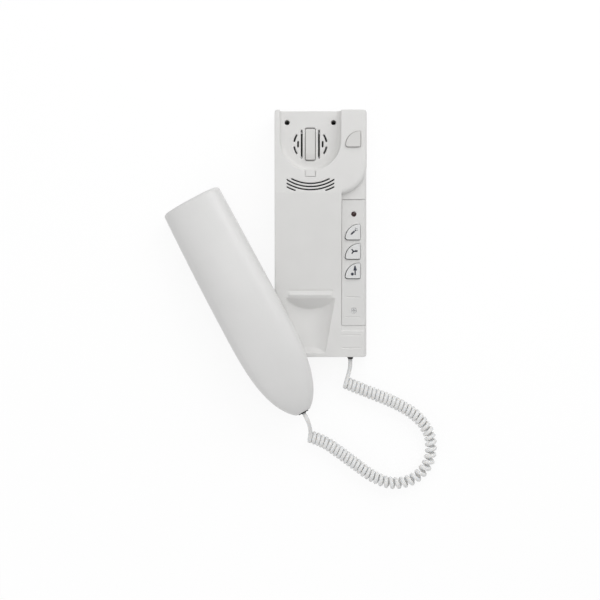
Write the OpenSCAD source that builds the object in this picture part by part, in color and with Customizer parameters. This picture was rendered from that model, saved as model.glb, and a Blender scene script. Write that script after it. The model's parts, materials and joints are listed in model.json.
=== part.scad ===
// Audio intercom for a flat: a wall unit, its handset lifted off and leaning on it, and their curly cord.
// The unit lies on its back, as on a bench. The origin is the centre of its rear face,
// +X is to the right of the unit, +Y towards its earpiece end and +Z out of its front. Millimetres.

/* [Wall unit] */
// Width of the wall unit
unit_w = 82; // [78:1:90]
// Height of the wall unit
unit_h = 220; // [216:1:232]
// Depth of the cradle face above the wall
face_z = 24; // [23.5:0.5:27]
// Rise of the earpiece platform above the cradle face
platform_rise = 7; // [6:0.5:8]
// Thickness of the moulded walls
wall = 2; // [1.6:0.1:2.2]
// Corner radius of the wall unit, seen from the front
corner_r = 2.5; // [1.5:0.5:4]
// Rounding along the left edge of the face
left_edge_r = 2; // [1:0.5:3]
// Rounding along the right edge of the face
right_edge_r = 5; // [3:0.5:6]
// Width of the control column on the right
column_w = 22.5; // [22:0.5:24]
// Thickness of the rear plate
plate_t = 2; // [1.6:0.2:2.4]
// Gap between the rear plate and the cover around it
plate_gap = 0.3; // [0.2:0.05:0.4]
// Radius of the cable entry in the rear plate
cable_r = 8; // [6:0.5:9]
// Height of the cable entry above the bottom edge
cable_rise = 80; // [76:1:84]

/* [Earpiece seat] */
// Distance of the earpiece seat from the left edge
seat_left = 4.6; // [4:0.1:6]
// Distance of the earpiece seat from the control column
seat_right = 0.5; // [0.4:0.1:1.5]
// Distance of the seat's centre below the top edge
seat_drop = 27; // [26:0.5:28]
// Depth of the seat below the platform
seat_depth = 12; // [11:0.5:12.5]
// Rounding between the seat's floor and its side
seat_fillet = 5; // [3:0.5:6]
// Thickness of the seat's side
seat_side = 2.7; // [2.7:0.1:3.2]
// Radius of the platform's round corner in the control column
platform_r = 26.3; // [25:0.1:27]
// Distance of that corner's centre below the top edge
platform_drop = 48.6; // [48:0.1:50]
// Rounding of the platform's edge in the control column
platform_edge_r = 4; // [3:0.5:5]
// Distance of the platform's lower edge below the top edge
ramp_drop = 74; // [73:0.5:75]
// Length of the cradle face's slope, from the platform down to its level end
ramp_run = 86; // [82:0.5:86]

/* [Sound openings] */
// Distance of the sound centre below the top edge
sound_drop = 29.6; // [29:0.1:30.2]
// Width of the sound slots in the seat
slot_w = 1.5; // [1.2:0.1:1.8]
// Length of the long slots beside the hook
long_slot = 26; // [22:1:28]
// Distance of the long slots from the centre line
long_slot_x = 7.7; // [7.5:0.1:8.2]
// Length of the short slots
short_slot = 5.8; // [4:0.2:7]
// Distance of the short slots from the centre line
short_slot_x = 11; // [10.6:0.1:11.6]
// Radius of the curved slots about the sound centre
arc_slot_r = 14.6; // [14:0.1:16]
// Radius of the innermost smile slot about the sound centre
smile_r = 36; // [35.5:0.1:36.5]
// Step from one smile slot to the next
smile_step = 2.77; // [2.5:0.05:3]
// Width of the smile slots
smile_w = 1.2; // [0.9:0.1:1.4]
// Distance of the smile grille's ends from the seat's width
smile_inset = 5.8; // [5:0.2:8]
// Length of the smile grille along the unit
smile_h = 11.1; // [10:0.1:11.8]
// Distance of the smile grille's head below the top edge
smile_drop = 61.1; // [60.8:0.1:62]

/* [Wall screws and latch] */
// Distance of the wall screw holes from the seat's sides
screw_inset = 6.4; // [6.2:0.1:8]
// Distance of the wall screw holes below the top edge
screw_drop = 10.2; // [10:0.2:13]
// Radius of the wall screw holes
screw_hole_r = 2.25; // [1.8:0.05:2.4]
// Thickness of the tubes around the wall screws
screw_tube = 1.75; // [1.4:0.05:2]
// Width of the latch window
latch_w = 9.3; // [8:0.1:10]
// Length of the latch window along the unit
latch_h = 6.6; // [6:0.1:7]
// Distance of the latch window's head below the top edge
latch_drop = 53; // [52.6:0.1:53.6]
// Gap around the latch tongue in its window
latch_gap = 0.2; // [0.2:0.05:0.6]
// Depth of the latch tongue's end below the platform
latch_sink = 1.2; // [0.8:0.1:4]

/* [Cradle hook] */
// Width of the hook lever
hook_w = 8.6; // [8:0.1:9]
// Length of the hook lever from its pivot to its free end
hook_l = 26.8; // [26:0.1:27]
// Thickness of the hook lever
hook_t = 3; // [2.6:0.1:3.2]
// Gap between the hook lever and its window
hook_gap = 0.35; // [0.3:0.05:0.45]
// Corner radius of the hook lever, seen from the front
hook_corner_r = 1.2; // [0.8:0.1:2]
// Angle by which the hook lever stands out at rest
hook_lift = 6.4; // [5:0.1:6.8]
// Depth of the hook's pivot below the seat's floor
pivot_depth = 4; // [3.8:0.1:4.2]
// Radius of the hook's pivot pin
pin_r = 1; // [0.8:0.05:1.1]
// Running gap of the hook on its pin
pin_gap = 0.05; // [0.03:0.01:0.08]
// Mean radius of the hook's return spring
spring_r = 1.8; // [1.6:0.1:2]
// Wire diameter of the return spring
spring_d = 0.5; // [0.4:0.05:0.6]
// Turns of the return spring
spring_turns = 4; // [3:1:5]

/* [Mouth recess] */
// Distance of the mouth recess from the cradle's sides at its head
mouth_margin = 7.5; // [7:0.1:9]
// Width of the mouth recess at its foot, against its head
mouth_taper = 0.6; // [0.5:0.02:0.7]
// Distance of the mouth recess's head above the bottom edge
mouth_head = 53; // [51:0.5:54]
// Distance of the mouth recess's foot above the bottom edge
mouth_foot = 3.5; // [3:0.5:6]
// Depth of the mouth recess below the cradle face, at the foot of its head wall
mouth_depth = 10; // [8:0.5:11]
// Length of the sloped wall at the mouth recess's head, seen from the front
mouth_run = 10; // [8:0.5:12]
// Depth of the mouth recess at its toe wall
toe_depth = 4; // [3:0.5:5]
// Length of the sloped wall at the mouth recess's toe, seen from the front
toe_run = 5.5; // [4:0.5:7]
// Distance of the lip's ends from the mouth recess's width
lip_inset = 2.3; // [1.5:0.1:4]
// Radius of the lip
lip_r = 2; // [1.6:0.1:2.2]
// Rise of the lip above the cradle face
lip_rise = 1; // [0.8:0.1:1.4]

/* [Controls] */
// Thickness of the button panel
panel_t = 2.2; // [2:0.1:2.6]
// Step of the control column and its panel below the cradle face
panel_sink = 0.8; // [0.4:0.1:1]
// Gap around the button panel
panel_gap = 0.15; // [0.15:0.05:0.5]
// Distance of the panel's head below the top edge
panel_drop = 79.5; // [79:0.5:81]
// Distance of the panel's foot above the bottom edge
panel_rise = 28; // [27:0.5:29]
// Distance of the control column's lower end above the bottom edge
block_head = 23.3; // [22:0.1:24]
// Width of a button cap
button_w = 13.1; // [12.4:0.1:13.4]
// Height of a button cap
button_h = 13.6; // [12.8:0.1:13.8]
// Rounding of a button cap's lower left corner
button_r = 2; // [1.4:0.1:2.4]
// Rounding of a button cap's right corners
button_corner_r = 0.9; // [0.6:0.1:1.2]
// Gap around a button cap
button_gap = 0.3; // [0.2:0.05:0.4]
// How far the panel's openings are set down and left of their caps
button_set = 0.15; // [0:0.05:0.2]
// How far a button cap stands above its surround
button_proud = 2; // [1.4:0.1:2.4]
// Travel of a button
button_travel = 1; // [0.8:0.05:1.1]
// Distance of the buttons' centres from the right edge
button_edge = 12.3; // [12:0.1:12.6]
// Distance of the top button's centre below the top edge
top_button_drop = 26.3; // [25:0.1:28]
// Distance of the first panel button's centre below the top edge
first_button_drop = 108.4; // [107.5:0.1:109]
// Pitch of the panel buttons
button_pitch = 17.3; // [16.8:0.1:17.8]
// Radius of the indicator lens
lens_r = 2.2; // [1.8:0.1:2.5]
// Distance of the indicator above the first panel button's centre
lens_up = 16; // [15.4:0.1:18]
// Distance of the indicator and the volume trimmer from the right edge
lens_edge = 11.4; // [11:0.1:12]
// Radius of the volume trimmer's shaft
trim_r = 2.3; // [1.8:0.1:2.4]
// Distance of the volume trimmer above the bottom edge
trim_rise = 41.4; // [40:0.2:43]
// Running gap of the volume trimmer in its panel hole
trim_gap = 0.2; // [0.15:0.05:0.3]

/* [Inside the wall unit] */
// Thickness of the circuit board
board_t = 1.6; // [1.2:0.2:2]
// Clear height under the circuit board
board_lift = 4; // [3.6:0.1:4.2]
// Radius of the ringer loudspeaker
ringer_r = 14; // [12.5:0.5:14.5]
// Height of the ringer loudspeaker
ringer_h = 7.6; // [6.8:0.1:7.8]
// Height of a key switch's body
key_h = 3.5; // [3:0.1:3.8]
// Radius of the cord bush at the wall unit
bush_r = 3; // [2.7:0.1:3.4]
// How far the cord bushes stand out
bush_out = 2.2; // [1.5:0.1:2.6]
// Distance of the cord's exit from the right edge
exit_edge = 14.1; // [13:0.1:16]

/* [Handset] */
// Length of the handset
handset_l = 214; // [210:1:218]
// Greatest width of the handset
handset_w = 58; // [56:0.5:59.5]
// Width of the handset at its earpiece end
handset_end_w = 55.6; // [53:0.2:56]
// Height of the back above the parting line at mid length
back_h = 19; // [17:0.5:21]
// Height of the back above the parting line at the earpiece end
end_back_h = 15; // [13:0.5:17]
// Rise of the soft ridge along the back's upper half
ridge_h = 1.2; // [0.8:0.1:1.6]
// Bow of the parting line
bow = 6; // [4:0.5:7]
// Thickness of the handset shells
shell_t = 2.2; // [1.8:0.1:2.4]
// Rounding of the earpiece end
end_r = 3; // [2.5:0.1:4.5]
// Distance from the earpiece end at which the handset starts to narrow
narrow_from = 107; // [100:1:112]
// How far the cover's apex would lie beyond the cut tip
apex_over = 3; // [2.5:0.1:3.5]
// Step from the back shell in to the face shell
face_step = 1.8; // [1.4:0.1:2]
// Parting gap between the two shells
part_gap = 0.2; // [0.1:0.05:0.3]
// Depth of the grip below the parting line
grip_d = 5; // [4.5:0.1:6]
// Depth of the earpiece below the parting line's ends
ear_d = 14; // [13.5:0.1:14.5]
// Depth of the mouthpiece below the parting line's ends
mouthpiece_d = 13; // [12:0.2:13.6]
// Length of the mouthpiece from its shoulder to the tip
mouthpiece_l = 38; // [37:0.5:39]
// Distance of the earpiece's centre from its end
ear_s = 27; // [26:0.5:28]
// Radius of the earpiece grille
ear_grille_r = 15; // [14:0.2:15.4]
// Distance of the microphone from the tip
mic_rise = 23; // [22:0.5:24]
// Radius of the microphone capsule
mic_r = 4.85; // [4:0.05:5]
// Radius of the screws' shanks
thread_r = 1.25; // [1:0.05:1.4]
// Radius of the screws' heads
head_r = 2.5; // [2.2:0.1:2.7]

/* [Handset at rest] */
// Angle between the handset and the unit, seen from the front
lean_angle = 28.3; // [26:0.1:30]
// Distance kept between the unit's lower edge and the mouthpiece
lean_room = 2.4; // [2:0.1:3.5]
// Gap between the handset and what it rests on
rest_gap = 0.3; // [0.2:0.05:0.4]

/* [Cord] */
// Diameter of the cord
cord_d = 3; // [2.6:0.1:3]
// Radius of the coil's mid line at its ends
coil_end_r = 4.1; // [3.8:0.1:4.4]
// Radius of the coil's mid line where it is drawn out
coil_mid_r = 3.6; // [3.4:0.1:3.8]
// Number of curls
curls = 55; // [48:1:55]
// Pitch of the curls where they are drawn out, against the tight ones
draw_out = 1.6; // [1.3:0.05:1.8]

/* [Hidden] */
$fn = 64;
// Overshoot of cutting shapes past the faces that they cut
cut = 1;
// Overlap of shapes that are joined
join = 0.05;
// Rings of the cord and springs per curl, and their sides
curl_rings = 8;
tube_sides = 6;

// Edges and levels of the wall unit
left_x = -unit_w / 2;
right_x = unit_w / 2;
top_y = unit_h / 2;
foot_y = -unit_h / 2;
column_x = right_x - column_w;
seat_r = (unit_w - column_w - seat_left - seat_right) / 2;
cradle_x = left_x + seat_left + seat_r;
platform_z = face_z + platform_rise;
seat_z = platform_z - seat_depth;
seat_y = top_y - seat_drop;
sound_y = top_y - sound_drop;
ramp_y = top_y - ramp_drop;
ramp_foot_y = ramp_y - ramp_run;
ramp_angle = atan2(platform_rise, ramp_run);
screw_y = top_y - screw_drop;
screw_xs = [cradle_x - seat_r + screw_inset, cradle_x + seat_r - screw_inset];
cable_y = foot_y + cable_rise;
latch_y = top_y - latch_drop;
platform_corner = [right_x - platform_r, top_y - platform_drop, 0];
smile_half = seat_r - smile_inset;
mouth_w = unit_w - column_w - 2 * mouth_margin;
mouth_head_y = foot_y + mouth_head;
mouth_rim = 0.5;
lip_l = mouth_w - 2 * lip_inset;

// Levels of the control column
panel_z = face_z - panel_sink;
tray_z = panel_z - panel_t;
tray_under = tray_z - wall;
panel_y0 = foot_y + panel_rise;
panel_y1 = top_y - panel_drop;
button_x = right_x - button_edge;
top_button_y = top_y - top_button_drop;
first_button_y = top_y - first_button_drop;
lens_x = right_x - lens_edge;
lens_y = first_button_y + lens_up;
trim_y = foot_y + trim_rise;
block_y = foot_y + block_head;
column_step = 0.1;
block_lines = [7.6, 19.1];
block_line_w = 0.9;
block_line_d = 0.5;
panel_lines = [11.7, -6.1];
panel_line_w = 0.8;
panel_line_d = 0.5;
button_steps = 12;
lip_groove = 1.5;
lip_groove_d = 0.5;
lens_gap = 0.1;
trim_slot = [3.6, 0.6, 1];

// Circuit board and what stands on it
board_z = plate_t + board_lift;
board_top = board_z + board_t;
board_edge_gap = 0.6;
screen_t = 0.6;
screen_z = platform_z - wall - screen_t - 0.1;
screen_edge = 1.6;
board_x0 = left_x + wall + 6;
board_x1 = right_x - wall - board_edge_gap;
board_strip_x = column_x + 1.8;
board_y0 = foot_y + 12;
board_y1 = top_y - 16;
wing_l = 77;
wing_gap = 2.3;
wing_y1 = sound_y - ringer_r - wing_gap;
wing_y0 = wing_y1 - wing_l;
plunger_h = 1.4;
plunger_r = 1.75;
key_top = board_top + key_h + plunger_h;
stem_gap = 0.1;
stem_r = 2;
flange_t = 1.3;
flange_w = 0.8;
flange_gap = 0.2;
terminal_size = [30, 9, 10];
terminal_n = 6;
terminal_gap = 1.3;
terminal_rise = 8;
terminal_y = wing_y0 + terminal_rise;
terminal_floor = 4;
terminal_mouth = 3;
terminal_screw_r = 1.7;
terminal_screw_h = 4.5;
terminal_screw_y = 0.8;
screw_edge = 5;
strip_screw_edge = 4;
board_screws = [
  [board_x0 + screw_edge, wing_y0 + screw_edge],
  [board_x0 + screw_edge, wing_y1 - 2.4 * screw_edge],
  [board_x1 - strip_screw_edge, (top_button_y + lens_y) / 2],
  [board_x1 - strip_screw_edge, trim_y + 2 * screw_edge]
];
terminal_x0 = board_x0 + screw_edge + head_r + terminal_gap;
post_r = 3;
thread_gap = 0.05;
head_h = 1.5;
chip_place = [14, 34];
header_size = [10, 6, 7];
header_y = board_y0 + 6;

// Hook
hook_window_l = 29.6;
hook_bevel_l = 5;
hook_bevel_d = 1.1;
hook_bevel_a = atan2(hook_bevel_d, hook_bevel_l);
pivot_y = sound_y + 12.3;
pivot_z = seat_z - pivot_depth;
hook_back = 1.3;
arm_z0 = -pivot_depth + 0.3;
arm_t = 1.6;
arm_latch_gap = 0.6;
latch_room = 0.2;
arm_reach = pivot_y - latch_y - arm_latch_gap;
arm_pad = 2.4;
arm_y = arm_reach - arm_pad;
arm_end_w = 12;
barrel_r = pin_r + 1.4;
pin_seat_gap = 0.02;
ear_t = 2.5;
pin_l = hook_w + 2 * ear_t + 1.4;
spring_x = cradle_x - 3;
spring_y = pivot_y - arm_y;
arm_rest_z = pivot_z + (arm_z0 * cos(hook_lift)) + arm_y * sin(hook_lift);
spring_z0 = board_top + 0.15;
spring_z1 = arm_rest_z - 0.25;
switch_top = pivot_z + arm_z0 - 0.2;

// Ringer
ringer_z0 = plate_t + 0.9;
magnet_r = 7.5;
magnet_h = 2.6;

// Cord bush at the wall unit
exit_x = right_x - exit_edge;
exit_z = 9.7;
bush_gap = 0.1;
bush_flange = 1.2;
bush_nose_r = cord_d / 2 + 0.7;

// Handset shape: s runs from the earpiece end to the tip, along -Y of the handset
half_mid = handset_w / 2;
half_end = handset_end_w / 2;
apex_s = handset_l + apex_over;
plan_power = 3.78;
plan_root = 1 / 1.6;
back_power = 3;
back_root = 0.55;
arch_power = 2.6;
ridge_soft = 0.14;
ridge_from = 0.4 * handset_l;
ridge_run = 0.28 * handset_l;
face_power = 8;
bow_r = (pow(handset_l / 2, 2) + pow(bow, 2)) / (2 * bow);
ear_blend_r = ear_s + 1;
ear_blend = 9;
ear_shoulder = 18;
mouth_blend = 9;
mouth_flat = 12;
mouth_tip_d = 7;
arch_steps = 20;
station_step = 5;
tip_step = 2.6;
tip_from = handset_l - 44;
mouthpiece_from = handset_l - mouthpiece_l;
mic_s = handset_l - mic_rise;
face_from = 1.2;
boss_rise = [66, 62];
boss_ss = [boss_rise[0], handset_l - boss_rise[1]];
boss_r = 3.2;
grille_t = 1.8;
grille_flange = 1.4;
grille_flange_t = 1;
grille_gap = 0.15;
gasket_t = 1;
ear_capsule_h = 8;
mic_h = 6.7;
mic_boot_t = 1.2;
lead_r = 0.7;
tip_bush = [8.2, 5.2];
tip_bush_r = 2.5;
tip_bush_l = 6;
tip_nose_l = 1.6;
tip_flange = [tip_bush[0] + 1.6, tip_bush[1] + 1.2];
tip_flange_t = 0.8;
tip_flange_gap = 0.1;
tip_bush_w = -1;

function clamp01(x) = min(1, max(0, x));
function ease(x) = let (c = clamp01(x)) c * c * (3 - 2 * c);
function root_pow(x, e) = sign(x) * pow(abs(x), e);
// Loss of size within the rounding at the earpiece end
function end_loss(s) = s >= end_r ? 0 : end_r - sqrt(pow(end_r, 2) - pow(end_r - s, 2));
function narrowing(s) = clamp01((s - narrow_from) / (apex_s - narrow_from));
// Height of the parting line over its ends
function parting(s) = sqrt(pow(bow_r, 2) - pow(s - handset_l / 2, 2)) - (bow_r - bow);
function half_width(s) =
  (half_end + (half_mid - half_end) * sin(90 * clamp01(s / narrow_from)))
  * pow(1 - pow(narrowing(s), plan_power), plan_root) - end_loss(s);
function back_height(s) =
  (end_back_h + (back_h - end_back_h) * sin(90 * clamp01(s / narrow_from)))
  * pow(1 - pow(narrowing(s), back_power), back_root) - end_loss(s);
// Rise of the ridge at a share of the half width from the middle
function ridge_rise(s, share) =
  ridge_h * (1 - ease((s - ridge_from) / ridge_run))
  * (1 - (norm([share, ridge_soft]) - ridge_soft) / (norm([1, ridge_soft]) - ridge_soft));
// How much of the earpiece's depth is reached at a point of the face
function ear_share(u, s) =
  let (across = ear_shoulder * sin(90 * clamp01(abs(u) / half_end)))
  s < ear_s ? 1 : ease((ear_blend_r - norm([across, s - ear_s])) / ear_blend);
function mouth_share(s) = ease((s - mouthpiece_from) / mouth_blend);
mouth_low_s = mouthpiece_from + mouth_blend + mouth_flat;
function mouth_bottom(s) =
  -mouthpiece_d + (mouthpiece_d - mouth_tip_d) * ease((s - mouth_low_s) / (handset_l + 4 - mouth_low_s));
// Depth of the face below the parting line
function face_depth(u, s) =
  grip_d + (parting(s) + ear_d - grip_d) * ear_share(u, s)
  + (parting(s) - mouth_bottom(s) - grip_d) * mouth_share(s) - end_loss(s);

stations = concat(
  [0, 0.1, 0.35, 0.65] * end_r,
  [for (s = [end_r:station_step:ear_s]) s],
  [for (s = [ear_s + 2:station_step / 2:ear_s + ear_blend_r + 4]) s],
  [for (s = [ear_s + ear_blend_r + 8:2 * station_step:tip_from]) s],
  [for (k = [0:round((handset_l - tip_from) / tip_step)])
    tip_from + 2 + (handset_l - tip_from - 2) * k / round((handset_l - tip_from) / tip_step)]
);

// Points of the two shells in the handset's own frame; inset moves a point inwards
function inner_s(s, inset, from) = from + inset + s * (handset_l - from - inset) / handset_l;
function back_point(s0, a, inset) =
  let (
    s = inner_s(s0, inset, 0), h = half_width(s) - inset, b = back_height(s) - inset,
    share = root_pow(cos(a), 2 / arch_power)
  )
  [h * share, -s, parting(s) + b * root_pow(sin(a), 2 / arch_power) + ridge_rise(s, share)];
function face_point(s0, a, inset) =
  let (
    s = inner_s(s0, inset, face_from),
    u = (half_width(s) - face_step - inset) * cos(a),
    d = face_depth(u, s) - part_gap - inset
  )
  [u, -s, parting(s) - part_gap - d * pow(1 - pow(abs(cos(a)), face_power), 1 / face_power)];

// Pose of the handset: its earpiece end on the bench, its grip along the unit's left edge.
// It touches the unit's lower corner at lean_s, the left edge at edge_s and edge_u, the bench at end_u.
lean_s = mouthpiece_from - lean_room - (half_mid - face_step) * tan(lean_angle);
edge_u = 0.85 * (half_mid - face_step);
edge_s = lean_s - edge_u / tan(lean_angle);
end_u = 0.6 * half_end;
lean_w = parting(lean_s) - grip_d;
lean_drop = lean_w - (parting(edge_s) - grip_d);
pitch_rise = (face_z - lean_w - ear_d - end_u * lean_drop / edge_u)
  / (lean_s - end_r + end_u * (lean_s - edge_s) / edge_u);
roll_rise = (lean_drop + (lean_s - edge_s) * pitch_rise) / edge_u;
lean_pitch = asin(pitch_rise);
lean_roll = asin(roll_rise);
handset_x = left_x - lean_s * cos(lean_pitch) * sin(lean_angle);
handset_y = foot_y + lean_s * cos(lean_pitch) * cos(lean_angle);
handset_z = face_z + rest_gap - lean_w - lean_s * pitch_rise;
function turn_x(p, a) = [p[0], p[1] * cos(a) - p[2] * sin(a), p[1] * sin(a) + p[2] * cos(a)];
function turn_y(p, a) = [p[0] * cos(a) + p[2] * sin(a), p[1], p[2] * cos(a) - p[0] * sin(a)];
function turn_z(p, a) = [p[0] * cos(a) - p[1] * sin(a), p[0] * sin(a) + p[1] * cos(a), p[2]];
function handset_dir(p) = turn_z(turn_y(turn_x(p, -lean_pitch), -lean_roll), lean_angle);
function handset_point(p) = handset_dir(p) + [handset_x, handset_y, handset_z];

// Route of the coil's axis over the bench
coil_route = [
  [23, -133.8], [33, -138], [43, -142], [53.5, -146], [64, -150.5], [75, -156], [86, -163.5],
  [93.5, -171.5], [98.5, -181], [100, -191], [99, -201], [95.5, -209.5], [89, -217], [81, -222],
  [71, -224.5], [61, -224], [52, -220.7], [43.4, -216], [34.1, -209.1], [24.6, -202.1],
  [15.1, -195.1], [5.4, -188.6], [-1.7, -185.2], [-9.4, -182.6]
];
coil_gap = 0.3;
route_steps = 8;
draw_from = 0.2;
draw_to = 0.82;
tail_steps = 5;
tail_pull = 20;

shell_white = "#ececea";
button_white = "#f0f0ee";
board_green = "#2f6a3a";
dark_rubber = "#2b2b2d";
bright_steel = "#c4c6c8";

// Shapes that repeat

module rounded_rect(w, h, r) {
  square([w - 2 * r, h], center = true);
  square([w, h - 2 * r], center = true);
  for (x = [-1, 1], y = [-1, 1]) translate([x * (w / 2 - r), y * (h / 2 - r)]) circle(r);
}

module edge_profile(w, h, r_left, r_right) {
  difference() {
    square([w, h]);
    if (r_left > 0) translate([0, h - r_left]) difference() {
      translate([-cut, 0]) square([r_left + cut, r_left + cut]);
      translate([r_left, 0]) circle(r_left);
    }
    if (r_right > 0) translate([w - r_right, h - r_right]) difference() {
      square([r_right + cut, r_right + cut]);
      circle(r_right);
    }
  }
}

// A bar along Y whose front edges are rounded, or sharp where the radius is 0
module face_bar(x0, x1, y0, y1, h, r_left, r_right) {
  translate([x0, y1, 0]) rotate([90, 0, 0])
    linear_extrude(y1 - y0) edge_profile(x1 - x0, h, r_left, r_right);
}

module box_between(low, high) {
  translate(low) cube(high - low);
}

// A wire of round section through points that run mostly along Y
module wire(points, r) {
  ring_tube(tube_rings(points, [for (p = points) [1, 0, 0]], r));
}

// A screw with a slotted pan head, its seat at the origin and its shank down -Z
module slotted_screw(shank_l) {
  difference() {
    union() {
      cylinder(h = head_h, r = head_r);
      translate([0, 0, -shank_l]) cylinder(h = shank_l + join, r = thread_r);
    }
    translate([-head_r - cut, -0.35, head_h * 0.55]) cube([2 * head_r + 2 * cut, 0.7, head_h]);
  }
}

// A tube through rings of points; each ring is a list of points round the tube
module ring_tube(rings) {
  n = len(rings[0]);
  last = len(rings) - 1;
  points = [for (ring = rings) for (p = ring) p];
  sides = [for (i = [0:last - 1]) for (j = [0:n - 1]) let (a = i * n + j, b = i * n + (j + 1) % n)
    each [[a, b, a + n], [b, b + n, a + n]]];
  start_cap = [for (j = [1:n - 2]) [0, j + 1, j]];
  end_cap = [for (j = [1:n - 2]) [last * n, last * n + j, last * n + j + 1]];
  polyhedron(points = points, faces = concat(sides, start_cap, end_cap));
}

function unit(v) = v / norm(v);
function line_tangent(line, i) = unit(line[min(i + 1, len(line) - 1)] - line[max(i - 1, 0)]);
// Rings of a tube about a line; refs gives a direction across the line at each point
function tube_rings(line, refs, r) = [
  for (i = [0:len(line) - 1])
    let (t = line_tangent(line, i), across = unit(cross(refs[i], t)), up = cross(t, across))
    [for (j = [0:tube_sides - 1])
      line[i] + r * (across * cos(360 * j / tube_sides) + up * sin(360 * j / tube_sides))]
];

// Least gap of a wound tube to itself, between points at least three quarters of a curl apart
function least_gap(line, d) =
  min([for (i = [0:len(line) - 7]) for (j = [i + 6:len(line) - 1]) norm(line[i] - line[j])]) - d;

// Outline of a button: a quarter round whose corner points down and right, with eased corners
module button_outline(grow) {
  right = button_w / 2 - button_corner_r;
  low = -button_h / 2 + button_corner_r;
  sweep_w = button_w - 2 * button_corner_r;
  sweep_h = button_h - 2 * button_corner_r;
  hull() {
    translate([right, low]) circle(button_corner_r + grow, $fn = 32);
    translate([-button_w / 2 + button_r, -button_h / 2 + button_r]) circle(button_r + grow, $fn = 32);
    for (a = [0:button_steps - 1]) let (turn = 90 * a / button_steps)
      translate([right - sweep_w * sin(turn), low + sweep_h * cos(turn)])
        circle(button_corner_r + grow, $fn = 32);
  }
}

// Wall unit: cover

module seat_profile(r, floor_z, fillet) {
  translate([0, floor_z]) square([r - fillet, platform_z + cut - floor_z]);
  translate([0, floor_z + fillet]) square([r, platform_z + cut - floor_z - fillet]);
  translate([r - fillet, floor_z + fillet]) intersection() {
    circle(fillet);
    translate([-join, -fillet]) square([fillet + join, fillet + join]);
  }
}

// The hollow of the earpiece seat, open towards the top edge
module seat_hollow(side, under) {
  r = seat_r + side;
  z = seat_z - under;
  f = seat_fillet + under;
  translate([cradle_x, seat_y, 0]) {
    rotate([0, 0, 180]) rotate_extrude(angle = 180) seat_profile(r, z, f);
    translate([0, top_y - seat_y + cut, 0]) rotate([90, 0, 0]) linear_extrude(top_y - seat_y + cut) {
      seat_profile(r, z, f);
      mirror([1, 0]) seat_profile(r, z, f);
    }
  }
}

// The hollow of the mouth recess: a trough between two sloped walls, deep under the lip
module mouth_hollow(grow) {
  hull() {
    translate([cradle_x, mouth_head_y, face_z]) mouth_wall(mouth_w / 2, mouth_depth, mouth_run, grow);
    translate([cradle_x, foot_y + mouth_foot, face_z]) mirror([0, 1, 0])
      mouth_wall(mouth_taper * mouth_w / 2, toe_depth, toe_run, grow);
  }
}

// A wall of round outline that slopes down towards -Y from an edge of the cradle face
module mouth_wall(half_w, depth, run, grow) {
  length = norm([depth, run]);
  r = (half_w * half_w + length * length) / (2 * length);
  rotate([atan2(depth, run), 0, 0]) translate([0, 0, -grow]) linear_extrude(join) intersection() {
    translate([0, r - length]) circle(r + grow);
    translate([-half_w - grow, -length - grow]) square([2 * (half_w + grow), length + grow + mouth_rim]);
  }
}

// The platform in the control column, with its round corner
module column_platform(shrink) {
  r = platform_r - shrink;
  z = platform_z - shrink;
  edge = platform_edge_r - shrink;
  intersection() {
    union() {
      translate(platform_corner) rotate([0, 0, -90]) rotate_extrude(angle = 90) {
        square([r - edge, z]);
        square([r, z - edge]);
        translate([r - edge, z - edge]) circle(edge);
      }
      face_bar(platform_corner[0], right_x - shrink, platform_corner[1], top_y - shrink, z, 0, edge);
    }
    box_between([column_x - join, 0, -cut], [right_x + cut, top_y + cut, z + cut]);
  }
}

module ramp_outline(sink) {
  polygon([
    [ramp_foot_y, 0],
    [ramp_foot_y, face_z - sink],
    [ramp_y, platform_z - sink],
    [top_y, platform_z - sink],
    [top_y, 0]
  ]);
}

module cover_outside() {
  intersection() {
    linear_extrude(platform_z + 2 * cut) rounded_rect(unit_w, unit_h, corner_r);
    union() {
      face_bar(left_x, right_x, foot_y, top_y, face_z, left_edge_r, right_edge_r);
      face_bar(left_x, column_x, ramp_y, top_y, platform_z, left_edge_r, 0);
      intersection() {
        translate([left_x, 0, 0]) rotate([90, 0, 90]) linear_extrude(unit_w - column_w) ramp_outline(0);
        translate([0, ramp_foot_y, face_z]) rotate([ramp_angle, 0, 0]) translate([0, 0, -face_z])
          face_bar(left_x, column_x, -ramp_run, 2 * ramp_run, face_z, left_edge_r, 0);
      }
      column_platform(0);
      translate([cradle_x, mouth_head_y + lip_r + 0.5, face_z + lip_rise - lip_r]) {
        translate([-lip_l / 2 + lip_r, 0, 0]) rotate([0, 90, 0]) cylinder(h = lip_l - 2 * lip_r, r = lip_r);
        for (x = [-1, 1]) translate([x * (lip_l / 2 - lip_r), 0, 0]) sphere(lip_r);
      }
    }
  }
}

module cover_inside() {
  difference() {
    union() {
      box_between([left_x + wall, foot_y + wall, -cut], [column_x - wall, top_y - wall, face_z - wall]);
      box_between([column_x - wall - join, foot_y + wall, -cut],
        [right_x - wall, panel_y1 + panel_gap + wall, tray_under]);
      box_between([column_x - wall - join, panel_y1 + panel_gap + wall - join, -cut],
        [right_x - wall, top_y - wall, face_z - wall - 2]);
      intersection() {
        translate([left_x + wall, 0, -cut]) rotate([90, 0, 90])
          linear_extrude(unit_w - column_w - 2 * wall) ramp_outline(wall - cut);
        box_between([left_x, foot_y, -cut], [right_x, top_y - wall, platform_z]);
      }
      translate([0, 0, -join]) column_platform(wall);
    }
    seat_hollow(seat_side, wall);
    mouth_hollow(wall);
  }
}

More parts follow.
